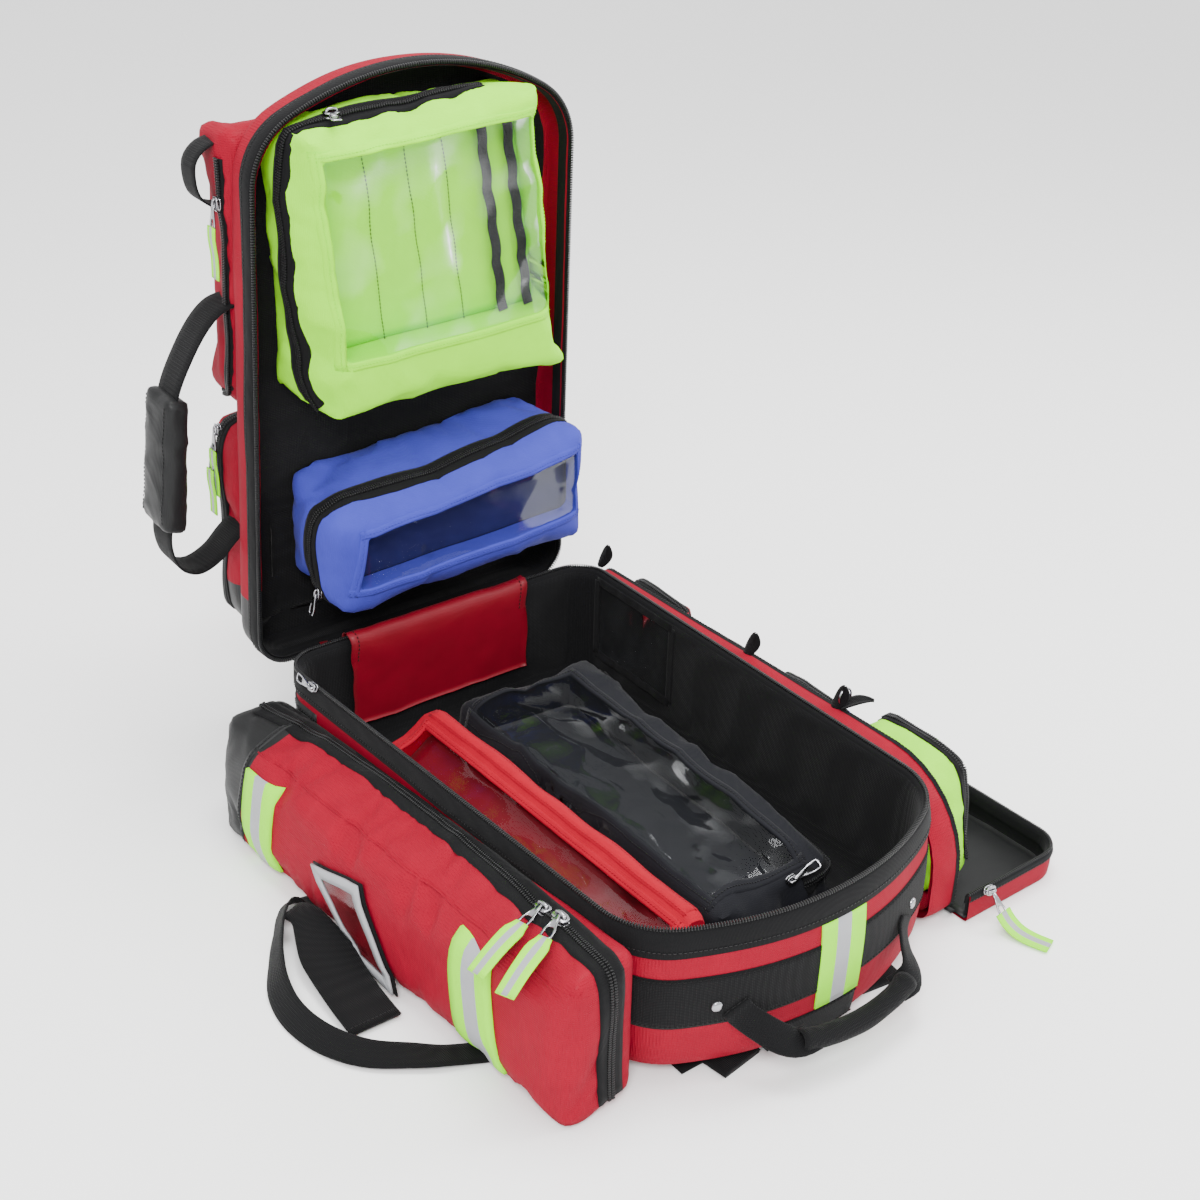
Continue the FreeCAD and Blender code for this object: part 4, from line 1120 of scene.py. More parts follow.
def add_lid_shell():
    """Lid gusset and back in red, its coated inner side and its knit lining."""
    profile = [(-0.8, 3), (-0.2, 5), (0, 12), (0.2, 22), (0.3, 32), (-0.2, 38), (-1.6, 42.5), (-5, 44.6), (-14, 45.2),
               (-60, 45.4), (-140, 45.4)]
    rows = [[on_lid(pair, (offset + (noise.noise(Vector((pair[0].x * 13, pair[0].y * 13, t * 0.05))) * 1.6
                                     if 4 < t < 44 else 0)) * MM, t) for pair in OUTLINE] for offset, t in profile]
    verts, faces = sheet_grid(rows, close_columns=True)
    faces.append(tuple(len(verts) - len(OUTLINE) + k for k in range(len(OUTLINE))))
    wall = build("lid_wall", verts, faces, RED, "lid", "shell_red", ["lid_shell"])
    split_material(wall, lid(0, 70, 0), lid_direction(0, -1, 0), GUARD)
    inner = [(-4.2, 3), (-4.6, 8), (-5, 20), (-5.4, 30), (-7, 37), (-12, 40)]
    rows = [[on_lid(pair, (offset + noise.noise(Vector((pair[0].x * 20, pair[0].y * 20, t * 0.08))) * 1.2) * MM, t)
             for pair in OUTLINE] for offset, t in inner]
    inner_wall = build("lid_inner_wall", *sheet_grid(rows, close_columns=True), RED, "lid", "shell_red")
    split_material(inner_wall, lid(0, 90, 0), lid_direction(0, -1, 0), KNIT)
    rows = []
    for offset in (-9, -12, -30, -50, -75, -100, -130, -150):
        rows.append([on_lid(pair, offset * MM, 39.2 - max(0, noise.noise(Vector((pair[0].x * 14 + offset * 0.05,
                                                                              pair[0].y * 14, 3)))) * 3.4)
                     for pair in OUTLINE])
    verts, faces = sheet_grid(rows, close_columns=True)
    faces.append(tuple(len(verts) - len(OUTLINE) + k for k in range(len(OUTLINE))))
    build("lid_lining_knit", verts, faces, KNIT, "lid", "lining_black", ["lid_lining"])

    def place(pair, offset, level):
        return on_lid(pair, offset, 2.0 - level / MM)
    rim_tape("lid_rim_zip", place, "lid", ["lid_zip"], 1.2 * MM, 14 * MM, 21 * MM)


LID_LEVEL = 45.0
LID_HALF = 170
CUSHION_TOP = 117


def add_lid_cushions():
    """The two padded pockets on the lid's outside, each with its zip, sliders and tags."""
    cushions = {}
    for word, low, high, wide_low, wide_high in (("upper", 262, 540, 178, 180), ("lower", 11, 244, 176, 176)):
        base = [lid(-wide_low, low, LID_LEVEL), lid(wide_low, low, LID_LEVEL), lid(wide_high, high, LID_LEVEL),
                lid(-wide_high, high, LID_LEVEL)]
        top = [lid(-wide_low + 4, low + 5, CUSHION_TOP), lid(wide_low - 4, low + 5, CUSHION_TOP),
               lid(wide_high - 4, high - 6, CUSHION_TOP), lid(-wide_high + 4, high - 6, CUSHION_TOP)]
        cushion = soft_box(f"lid_{word}_cushion", base, top, 17 * MM, RED)
        inflate(cushion, 7 * MM, 8 * MM, 0.03, 4.5,
                lambda p: 1.0 if (p - lid(0, 0, 0)).dot(LID_OUT) < (LID_LEVEL + 4) * MM else 0.0)
        crumple(cushion, 1.3 * MM, 13, low * 0.1, where=lambda p: fade((p - lid(0, 0, 0)).dot(LID_OUT), 0.05, 0.066))
        if word == "lower":
            split_material(cushion, lid(0, 62, 78), lid_direction(0, -1, -0.15), GUARD)
        settle(cushion, "lid", "shell_red", [f"lid_{word}_pocket"] + (["lid_base_guard"] if word == "lower" else []))
        cushions[word] = (Surface(cushion), low, high)
    for word, (skin, low, high) in cushions.items():
        add_cushion_trim(word, skin, low, high)


def add_cushion_trim(word, skin, low, high):
    level = {"upper": 60, "lower": 98}[word]
    for side in (-1, 1):
        out = Vector((side, 0, 0))
        if word == "upper":
            route = [lid(side * LID_HALF, low + 8, level + 30), lid(side * LID_HALF, low + 20, level + 6),
                     lid(side * 172, (low + high) / 2, level), lid(side * 172, high - 30, level)]
            outs = [out, out, out, out]
        else:
            route = [lid(side * LID_HALF, low + 4, level), lid(side * LID_HALF, (low + high) / 2, level),
                     lid(side * LID_HALF, high - 24, level - 6), lid(side * (LID_HALF - 14), high - 1, level - 12),
                     lid(side * 60, high, level - 14)]
            outs = [out, out, out, out + LID_UP, LID_UP]
        name = f"{word}_cushion_zip_{'left' if side < 0 else 'right'}"
        laid_zip(name, skin, route, outs, "lid", width=(9 if word == "upper" else 20) * MM,
                 replaces=["lid_pocket_zips"] if word == "upper" and side < 0 else ())
    seam = [lid(x, u, 116) for x, u in ((-146, low + 16), (146, low + 16), (136, high - 16), (-136, high - 16),
                                        (-146, low + 16))]
    for a, b in zip(seam, seam[1:]):
        line = [skin.under(a.lerp(b, k / 30), LID_OUT) for k in range(31)]
        parts = [(*sweep(line, LID_OUT, round_section(0.9 * MM, 6)), 0),
                 (*stitch_row([p + (b - a).cross(LID_OUT).normalized() * 4 * MM for p in line], LID_OUT), 1)]
        assemble(f"{word}_seam_{seam.index(a)}", parts, [RED, THREAD_DARK], "lid", "shell_red")
    slide_body = f"{word}_pocket_pull"
    out = Vector((-1, 0, 0))
    spots = [(469, level)] if word == "upper" else [(228, level - 3), (206, level + 1)]
    for index, (u, t) in enumerate(spots):
        at = skin.under(lid(-LID_HALF, u, t), out) + out * 1.0 * MM
        add_slider(f"{word}_slider_{index}", at, LID_UP, out, slide_body,
                   [f"{word}_pocket_slider"] if index == 0 else ())
        root = at + out * 6.6 * MM
        low_end = root - LID_UP * 24 * MM + out * 2.5 * MM - LID_OUT * 2 * MM
        add_pull(f"{word}_pull_{index}", root, low_end - root, out, slide_body, 25 * MM)
        tag = [low_end + LID_UP * 4 * MM + out * 1.2 * MM, low_end - LID_UP * 8 * MM + out * 1.5 * MM,
               low_end - LID_UP * 26 * MM - out * 0.5 * MM, low_end - LID_UP * 46 * MM - out * 0.5 * MM]
        ribbon(f"{word}_tag_{index}", tag, out, 13 * MM, [LIME, SILVER], slide_body, "reflective_tape", 1.6 * MM,
               LIME_SILVER_LIME)


def add_lid_handle():
    """The side carry loop with its padded wrap, and the short loop above it."""
    level = 70
    route = [lid(x, u, level) for x, u in (
        (-150, 372), (-174, 372), (-190, 366), (-206, 350), (-222, 325), (-236, 296), (-243, 266), (-247, 220),
        (-250, 172), (-254, 140), (-246, 112), (-226, 100), (-203, 108), (-186, 124), (-172, 134), (-150, 136))]
    ups = [(0, 0, 1), (-0.15, 0, 1), (-0.55, 0, 1), (-1, 0, 0.8), (-1, 0, 0.5), (-1, 0, 0.35), (-1, 0, 0.15),
           (-1, 0, 0.1), (-1, 0, 0.1),
           (-1, 0, -0.25), (-0.75, 0, -1), (-0.1, 0, -1), (0.5, 0, -1), (0.55, 0, -1), (0.3, 0, -1), (0, 0, -1)]
    ups = [Vector((u[0], 0, 0)) + LID_UP * u[2] for u in ups]
    webbing = ribbon("lid_loop_webbing", route, ups, 38 * MM, WEBBING, None, "webbing_black", 2.2 * MM,
                     replaces=["lid_handle_webbing"])
    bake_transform(webbing)
    low = [lid(-262, 158, 44), lid(-238, 152, 44), lid(-238, 152, 98), lid(-262, 158, 98)]
    high = [lid(-250, 292, 46), lid(-227, 286, 46), lid(-227, 286, 96), lid(-250, 292, 96)]
    wrap = soft_box("lid_wrap_pad", low, high, 6 * MM, GUARD)
    inflate(wrap, 4 * MM, 4 * MM, 0.03, 4.0, lambda p: 0.0)
    crumple(wrap, 1.2 * MM, 30, 8.0)
    settle(wrap, "lid_handle", "webbing_black", ["lid_grip_wrap"])
    skin = Surface(wrap)
    parts = []
    for share in (0.12, 0.88):
        edge = [low[0].lerp(high[0], k / 16) + LID_OUT * share * 54 * MM for k in range(1, 16)]
        line = [skin.under(p, Vector((-1, 0, 0))) for p in edge]
        parts.append((*stitch_row(line, Vector((-1, 0, 0)), 0.5 * MM), 0))
    assemble("lid_wrap_stitching", parts, COIL, "lid_handle", "webbing_black")
    loop = [lid(*place) for place in (
        (-150, 522, 82), (-166, 522, 82), (-184, 518, 82), (-196, 506, 82), (-198, 490, 81), (-194, 474, 80),
        (-182, 464, 80), (-166, 460, 80), (-150, 460, 80))]
    ups = [(0, 1), (0, 1), (-0.5, 1), (-1, 0.5), (-1, 0), (-1, -0.6), (-0.5, -1), (0, -1), (0, -1)]
    ribbon("lid_short_loop", loop, [Vector((a, 0, 0)) + LID_UP * b for a, b in ups], 25 * MM, WEBBING, "lid",
           "webbing_black",
           2.0 * MM, replaces=["lid_side_loop"])
    end = [lid(150, 292, 60), lid(166, 290, 60), lid(178, 287, 61), lid(188, 281, 62)]
    ribbon("lid_strap_end", end, [LID_UP, LID_UP, LID_UP + Vector((0.3, 0, 0)), LID_UP + Vector((0.5, 0, 0))],
           25 * MM, WEBBING, "lid", "webbing_black", 2.0 * MM)


# ---------------------------------------------------------------- fabric across the lid's hinge
def add_hinge_cloth():
    """The coated panel that laps the base wall, and the webbing strip outside it."""
    def place(y, z):
        return Vector((0, y * MM, z * MM))
    route = [place(282.6, 56), place(282.4, 90), place(281.8, 125), place(282.4, 146), place(286, 157.5),
             place(293, 160.5),
             place(300.5, 155), place(307, 140), place(320, 128), lid(0, 4, 1), lid(0, 5, 8)]
    line = smooth_line(route, 6 * MM)
    rows = []
    for i, point in enumerate(line):
        row = []
        for k in range(28):
            x = -117 + 217 * k / 27 + 5 * noise.noise(Vector((i * 0.2, k // 26, 1)))
            wave = noise.noise(Vector((x * 0.022, i * 0.11, 5))) * 2.2 + noise.noise(Vector((x * 0.06, i * 0.3,
                    9))) * 0.8
            row.append(Vector((x * MM, point.y, point.z + wave * MM)) + Vector((0, -abs(wave) * MM * 0.8, 0)))
        rows.append(row)
    along = frames_along(line, Vector((1, 0, 0)))
    outs = [side for _, _, side, _ in along]
    outs = [o if o.z > 0 or o.y < 0 else -o for o in outs]
    verts, faces, _ = skirted(rows, outs, 1.2 * MM)
    parts = [(verts, faces, 0)]
    for k in (1, -2):
        parts.append((*stitch_row([row[k] for row in rows], outs, 0.5 * MM), 1))
    panel = assemble("hinge_panel_cloth", parts, [BURGUNDY, THREAD_DARK], None, "hinge_burgundy", ["hinge_panel"])
    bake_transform(panel)
    rows = []
    web = [place(296.8, 84), place(297.2, 98), place(297.6, 108), place(298.6, 111.4), place(301, 112.6),
           place(306, 113.2), place(316, 113.8),
           place(330, 115), place(342, 116.0), place(354, 117), place(364, 117.6)]
    for point in web:
        rows.append([Vector(((-150 + 300 * k / 20) * MM, point.y, point.z)) for k in range(21)])
    rows += [[p + Vector((0, 0.2 * MM, -1.3 * MM)) for p in row] for row in reversed(rows)]
    strip = build("hinge_web_outer", *sheet_grid(rows, close_rows=True), WEBBING, None, "webbing_black",
                  ["lid_hinge_strip"])
    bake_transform(strip)


# ---------------------------------------------------------------- pouches with clear windows
def cut_recess(piece, corners, out, depth):
    """Cut a window's opening into a soft form, to a flat floor below."""
    out = Vector(out).normalized()
    corners = [Vector(c) for c in corners]
    form = bmesh.new()
    low = [form.verts.new(c - out * depth) for c in corners]
    high = [form.verts.new(c + out * 40 * MM) for c in corners]
    form.faces.new(low)
    form.faces.new(reversed(high))
    for i in range(4):
        form.faces.new((low[i], high[i], high[(i + 1) % 4], low[(i + 1) % 4]))
    bmesh.ops.recalc_face_normals(form, faces=form.faces)
    along_cut = [e for e in form.edges if abs((e.verts[1].co - e.verts[0].co).normalized().dot(out)) > 0.9]
    bmesh.ops.bevel(form, geom=along_cut, offset=12 * MM, segments=4, profile=0.5, affect="EDGES")
    mesh = bpy.data.meshes.new("cutter")
    form.to_mesh(mesh)
    form.free()
    cutter = bpy.data.objects.new("cutter", mesh)
    bpy.context.scene.collection.objects.link(cutter)
    boolean = piece.modifiers.new("cut", "BOOLEAN")
    boolean.operation, boolean.object, boolean.solver = "DIFFERENCE", cutter, "EXACT"
    bpy.context.view_layer.update()
    apply_modifiers(piece)
    bpy.data.objects.remove(cutter)
    piece.data.polygons.foreach_set("use_smooth", [True] * len(piece.data.polygons))
    piece.data.set_sharp_from_angle(angle=math.radians(45))


def shrunk(corners, by):
    """Four corners moved towards their middle by a distance."""
    corners = [Vector(c) for c in corners]
    middle = sum(corners, Vector()) / 4
    return [c + (middle - c).normalized() * by for c in corners]


def window_film(name, skin, corners, out, body, replaces, sink, wave, scale, seed, ridges):
    """Clear film across an opening, hung on the surface as it was before the cut."""
    out = Vector(out).normalized()
    wide = shrunk(corners, -4 * MM)
    rows = patch_on(skin, wide, out, 40, 40, -sink)
    moved = []
    for j, row in enumerate(rows):
        edge_row = fade(min(j, 40 - j), 0, 6)
        line = []
        for i, point in enumerate(row):
            edge = edge_row * fade(min(i, 40 - i), 0, 6)
            n = noise.noise(point * scale + Vector((seed, 0, seed)))
            ridge = (1 - abs(noise.noise(point * scale * 1.4 + Vector((0, seed + 3, 1)))) * 2.4) ** 3
            line.append(point + out * edge * (n * wave + ridge * ridges - abs(wave) * 0.5))
        moved.append(line)
    return build(name, *sheet_grid(moved), CLEAR, body, "clear_vinyl", replaces)


def window_hem(name, skin, corners, out, width, material, thread, body, slot):
    """The folded border that holds the film: a strip on each side, mitred by overlap, with a line of stitches."""
    out = Vector(out).normalized()
    corners = [Vector(c) for c in corners]
    parts = []
    for i in range(4):
        a, b = corners[i], corners[(i + 1) % 4]
        along = (b - a).normalized()
        line = resampled([a - along * width * 0.5, b + along * width * 0.5], 7 * MM)
        rows = laid_rows(skin, line, [out] * len(line), [-width / 2, -width / 4, 0, width / 4, width / 2], 0.9 * MM)
        verts, faces, _ = skirted(rows, out, 2.5 * MM)
        parts.append((verts, faces, 0))
        parts.append((*stitch_row([row[2] for row in rows], out, 0.4 * MM, 3.6 * MM, 0.7 * MM), 1))
    return assemble(name, parts, [material, thread], body, slot)


def recess_panel(word, corners, out, depth, material, wave):
    """The cloth that lies at the back of a window's opening."""
    out = Vector(out).normalized()
    a, b, c, d = shrunk(corners, 1.5 * MM)
    rows = []
    for j in range(25):
        row = []
        for i in range(25):
            point = (a.lerp(b, i / 24)).lerp(d.lerp(c, i / 24), j / 24) - out * (depth - 2.2 * MM)
            row.append(point + out * wave * (noise.noise(point * 18 + EAST) + 0.6))
        rows.append(row)
    build(f"{word}_back_panel", *skirted(rows, out, 3 * MM)[:2], material, f"{word}_kit", f"pouch_{word}")
    return rows


def open_window(word, pouch, corners, out, cut, back, cloth, wave=1.6 * MM):
    """Cut a window in a pouch and line its back. Gives the surface as it was and the lining's points."""
    skin = Surface(pouch)
    cut_recess(pouch, corners, out, cut)
    settle(pouch, f"{word}_kit", f"pouch_{word}", [f"{word}_pouch"])
    return skin, recess_panel(word, corners, out, back, cloth, wave)


def close_window(word, skin, corners, out, film, width, material, thread):
    """The clear film, given as (sink, wave, scale, seed, ridges), and the hem that holds it."""
    window_film(f"{word}_film", skin, corners, out, f"{word}_kit", [f"{word}_pouch_window"], *film)
    window_hem(f"{word}_hem", skin, shrunk(corners, -3 * MM), out, width, material, thread, f"{word}_kit",
               f"pouch_{word}")


def add_green_pouch():
    front, back = -31, 38
    low = [lid(-141, 291, back), lid(-150, 543, back), lid(104, 556, back), lid(144, 284, back)]
    high = [lid(-111, 268, front), lid(-139, 544, front), lid(110, 571, front), lid(154, 273, front)]
    pouch = soft_box("green_pouch_cloth", low, high, 6 * MM, GREEN)
    inflate(pouch, 6 * MM, 7 * MM, 0.045, 4.0, lambda p: 1.0 if (p - lid(0, 0, 0)).dot(LID_OUT) > 0.033 else 0.0)
    crumple(pouch, 2.6 * MM, 9, 4.0, 1.4)
    corners = [lid(-129, 527, front), lid(99, 543, front), lid(137, 339, front), lid(-106, 329, front)]
    out = -LID_OUT
    depth = 34 * MM
    skin, rows = open_window("green", pouch, corners, out, depth, depth, GREEN)
    parts = []
    for share in (0.06, 0.26, 0.46, 0.64):
        k = share * 24
        line = [row[int(k)].lerp(row[int(k) + 1], k - int(k)) + out * 0.8 * MM for row in rows]
        line = [p + Vector((noise.noise(p * 30) * 2.4 * MM, 0, 0)) for p in line]
        parts.append((*stitch_row(line, out, 0.4 * MM, 4.0 * MM, 1.0 * MM), 0))
    assemble("green_loop_stitches", parts, THREAD_DARK, "green_kit", "lining_black")
    for index, share in enumerate((0.82, 0.95)):
        k = share * 24
        line = [row[int(k)].lerp(row[int(k) + 1], k - int(k)) + out * (4 + 4 * abs(math.sin(j * 0.7))) * MM
                for j, row in enumerate(rows)]
        ribbon(f"green_elastic_{index}", line, out, 10 * MM, WEBBING, "green_kit", "webbing_black", 1.6 * MM)
    close_window("green", skin, corners, out, (1.5 * MM, 2 * MM, 8, 2.0, 0.8 * MM), 8 * MM, GREEN, GREEN)
    route = [lid(-120, 276, -4), lid(-134, 300, 2), lid(-137, 400, 4), lid(-140, 500, 2), lid(-138, 534, -2),
             lid(-118, 548, -6),
             lid(-60, 552, -6), lid(60, 560, -4)]
    outs = [WEST - LID_UP, WEST, WEST, WEST, WEST + LID_UP, LID_UP, LID_UP, LID_UP]
    laid_zip("green_pouch_zip", skin, route, outs, "green_kit", width=16 * MM, step=6 * MM)
    at = skin.under(lid(-100, 550, -6), LID_UP) + LID_UP * 1 * MM
    add_slider("green_pouch_slider", at, Vector((1, 0, 0)), LID_UP, "green_kit", (), 1.2)
    root = at + LID_UP * 5 * MM
    add_pull("green_pouch_pull", root, -LID_OUT * 0.9 + LID_UP * 0.05 + Vector((-0.35, 0, 0)), LID_UP, "green_kit",
             32 * MM, 10 * MM)


def add_blue_pouch():
    front, back = -52, 38
    low = [lid(-134, 84, back), lid(-132, 200, back), lid(146, 220, back), lid(156, 84, back)]
    high = [lid(-114, 62, front), lid(-128, 166, front), lid(172, 203, front), lid(176, 72, front)]
    pouch = soft_box("blue_pouch_cloth", low, high, 11 * MM, BLUE)
    inflate(pouch, 6 * MM, 8 * MM, 0.045, 5.0, lambda p: 1.0 if (p - lid(0, 0, 0)).dot(LID_OUT) > 0.033 else 0.0)
    crumple(pouch, 2.2 * MM, 11, 7.0, 1.4)
    out = -LID_OUT
    corners = [lid(-98, 157, front), lid(163, 184, front), lid(167, 107, front), lid(-108, 93, front)]
    depth = 24 * MM
    skin, _ = open_window("blue", pouch, corners, out, depth, depth, NAVY, 3 * MM)
    close_window("blue", skin, corners, out, (1.5 * MM, 4 * MM, 9, 5.0, 1.6 * MM), 8 * MM, BLUE, BLUE)
    route = [lid(-118, 68, -20), lid(-126, 90, -18), lid(-132, 130, -14), lid(-136, 168, -18), lid(-118, 190, -26),
             lid(-60, 204, -30),
             lid(20, 214, -30), lid(100, 220, -26), lid(166, 218, -18)]
    outs = [WEST - LID_UP * 0.4, WEST, WEST, WEST + LID_UP * 0.2, WEST + LID_UP, LID_UP, LID_UP, LID_UP, LID_UP]
    laid_zip("blue_pouch_zip", skin, route, outs, "blue_kit", width=17 * MM, step=6 * MM)
    at = skin.under(lid(-124, 84, -20), WEST) + WEST * 1 * MM
    add_slider("blue_pouch_slider", at, -LID_UP, WEST, "blue_kit")
    add_pull("blue_pouch_pull", at + WEST * 6 * MM, -LID_UP + WEST * 0.25, WEST, "blue_kit", 24 * MM)


# ---------------------------------------------------------------- pouches in the compartment
def add_black_pouch():
    low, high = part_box("black_pouch")
    floor, top = low.z + 1 * MM, high.z
    near_top = top - 14 * MM
    base = [(-44 * MM, -194 * MM, floor), (112 * MM, -194 * MM, floor), (133 * MM, 214 * MM, floor),
            (-36 * MM, 214 * MM, floor)]
    crown = [(-46 * MM, -190 * MM, near_top - 3 * MM), (108 * MM, -188 * MM, near_top - 7 * MM),
             (128 * MM, 208 * MM, top - 5 * MM),
             (-38 * MM, 210 * MM, top - 2 * MM)]
    pouch = soft_box("black_pouch_cloth", base, crown, 9 * MM, CHARCOAL)
    inflate(pouch, 7 * MM, 7 * MM, 0.05, 4.0, lambda p: 1.0 if p.z < floor + 5 * MM else 0.0)
    crumple(pouch, 2.6 * MM, 10, 12.0, 1.5, lambda p: fade(p.z, floor + 5 * MM, floor + 20 * MM))
    corners = [(-36 * MM, 190 * MM, top), (84 * MM, 178 * MM, top), (78 * MM, -172 * MM, near_top),
               (-34 * MM, -176 * MM, near_top)]
    depth = 34 * MM
    skin, _ = open_window("black", pouch, corners, UP, depth + 8 * MM, depth + 6 * MM, CHARCOAL, 4 * MM)
    close_window("black", skin, corners, UP, (1 * MM, 9 * MM, 13, 3.0, 5 * MM), 9 * MM, CHARCOAL, COIL)
    route = [(70 * MM, -196 * MM, near_top - 24 * MM), (100 * MM, -194 * MM, near_top - 22 * MM),
             (113 * MM, -176 * MM, near_top - 22 * MM),
             (120 * MM, 0, near_top - 16 * MM), (130 * MM, 190 * MM, top - 24 * MM)]
    laid_zip("black_pouch_zip", skin, route, [-Vector((0, 1, 0)), EAST - Vector((0, 1, 0)), EAST, EAST, EAST],
             "black_kit",
             width=18 * MM)
    at = skin.under(Vector((58 * MM, -193 * MM, near_top - 16 * MM)), Vector((0, -1, 0))) - Vector((0, 1 * MM, 0))
    add_slider("black_pouch_slider", at, (1, 0, 0.1), (0, -1, 0.2), "black_kit")
    add_pull("black_pouch_pull", at + Vector((0, -6 * MM, 3 * MM)), (1, -0.05, 0.25), (0, -0.6, 0.8), "black_kit",
             30 * MM, 10 * MM)


def add_red_pouch():
    """A wedge-shaped pouch: a sloping clear front, and a padded back with a bright band along its top."""
    low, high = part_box("red_pouch")
    floor, top = low.z / MM, high.z / MM
    near, far = low.y / MM, high.y / MM
    profile = [(-60, floor + 2), (-59, floor + 30), (-59, top - 16), (-61, top - 4), (-67, top), (-76, top),
               (-80, top - 4),
               (-100, top - 4 - 20 * 0.62), (-130, floor + 56), (-154, floor + 36), (-158, floor + 28), (-158,
                       floor + 3), (-110, floor + 1.5)]
    fine = smooth_line([Vector((x, 0, z)) for x, z in profile], 4.5, closed=True)
    middle = Vector((-95, 0, floor + 32))
    rows = []
    stations = [near + 3 + (far - near - 6) * k / 70 for k in range(71)]
    for k, y in enumerate(stations):
        end = min(k, 70 - k)
        shrink = {0: 0.90, 1: 0.965, 2: 0.99}.get(end, 1.0)
        row = []
        for p in fine:
            spot = middle + (p - middle) * shrink
            if p.z > floor + 6:
                push = noise.noise(Vector((p.x * 0.02, y * 0.018, p.z * 0.02))) * 4.5 + (
                    1 - abs(noise.noise(Vector((p.x * 0.04, y * 0.035, p.z * 0.03 + 8)))) * 2) ** 3 * 1.4
                spot += (p - middle).normalized() * min(push, 2.2)
            row.append(Vector((spot.x, y + noise.noise(Vector((p.x * 0.03, 2, p.z * 0.03))) * 4, spot.z)) * MM)
        rows.append(row)
    verts, faces = sheet_grid(rows, close_columns=True)
    width = len(fine)
    faces += [tuple(range(width)), tuple(len(verts) - width + k for k in range(width))]
    pouch = build("red_pouch_cloth", verts, faces, POUCH_RED)
    slope = Vector((-0.53, 0, 0.85)).normalized()
    a, b = top - 9, floor + 36
    corners = [Vector((-85 * MM, 196 * MM, a * MM)), Vector((-85 * MM, -192 * MM, a * MM)),
               Vector((-151 * MM, -190 * MM, b * MM)),
               Vector((-151 * MM, 190 * MM, b * MM))]
    skin, _ = open_window("red", pouch, corners, slope, 17 * MM, 16 * MM, BURGUNDY, 3 * MM)
    close_window("red", skin, corners, slope, (0.5 * MM, 6 * MM, 14, 9.0, 3 * MM), 8 * MM, POUCH_RED, POUCH_RED)
    band = [(-70 * MM, y * MM, top * MM) for y in (far - 12, 100, 0, -100, near + 12)]
    laid_strip("red_top_band", skin, band, (0, 0, 1), 16 * MM, [POUCH_RED, THREAD_DARK], "red_kit", "pouch_red",
               1.2 * MM,
               stitched=0)


def add_inner_pocket():
    """A clear pocket on the compartment's far right wall, bound in tape."""
    low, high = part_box("inner_clear_pocket")
    rows = []
    for j in range(19):
        z = low.z + (high.z - low.z) * j / 18
        rows.append([Vector((side_at(y) - 8.2 * MM - 0.8 * MM * abs(math.sin(k * 0.5)), y, z))
                     for k, y in ((k, low.y + (high.y - low.y) * k / 26) for k in range(27))])
    build("inner_pocket_film", *sheet_grid(rows), CLEAR, "body", "clear_vinyl", ["inner_clear_pocket"])
    edges = [[row[0] for row in rows], [row[-1] for row in rows], rows[0]]
    for index, edge in enumerate(edges):
        ribbon(f"inner_pocket_edge_{index}", [p - EAST * 0.3 * MM for p in edge], -EAST, 9 * MM, WEBBING, "body",
               "webbing_black",
               1.0 * MM)
    ribbon("inner_pocket_top_edge", [p - EAST * 0.3 * MM for p in rows[-1]], -EAST, 9 * MM, WEBBING, "body",
           "webbing_black", 1.0 * MM)


# ---------------------------------------------------------------- open side pocket
GUSSET_LOW, GUSSET_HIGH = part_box("right_pocket_gusset")


def pocket_loop(inset, step=7 * MM):
    """The open pocket's outline seen from the side, (y, z) with its outward direction; the near top is well rounded."""
    y0, y1 = GUSSET_LOW.y + 16 * MM + inset, GUSSET_HIGH.y - inset
    z0, z1 = GUSSET_LOW.z + inset, GUSSET_HIGH.z - inset
    found = []
    for cy, cz, radius, start in ((y0, z1, 92 * MM, 90), (y0, z0, 18 * MM, 180), (y1, z0, 16 * MM, 270),
                                  (y1, z1, 18 * MM, 0)):
        radius -= inset
        centre_y = cy + radius if cy == y0 else cy - radius
        centre_z = cz + radius if cz == z0 else cz - radius
        for k in range(9):
            angle = math.radians(start + 90 * k / 8)
            normal = Vector((0, math.cos(angle), math.sin(angle)))
            found.append((Vector((0, centre_y, centre_z)) + normal * radius, normal))
    loop = []
    for (a, na), (b, nb) in zip(found, found[1:] + found[:1]):
        parts = max(1, round((b - a).length / step))
        loop += [(a.lerp(b, k / parts), na.lerp(nb, k / parts).normalized()) for k in range(parts)]
    return loop


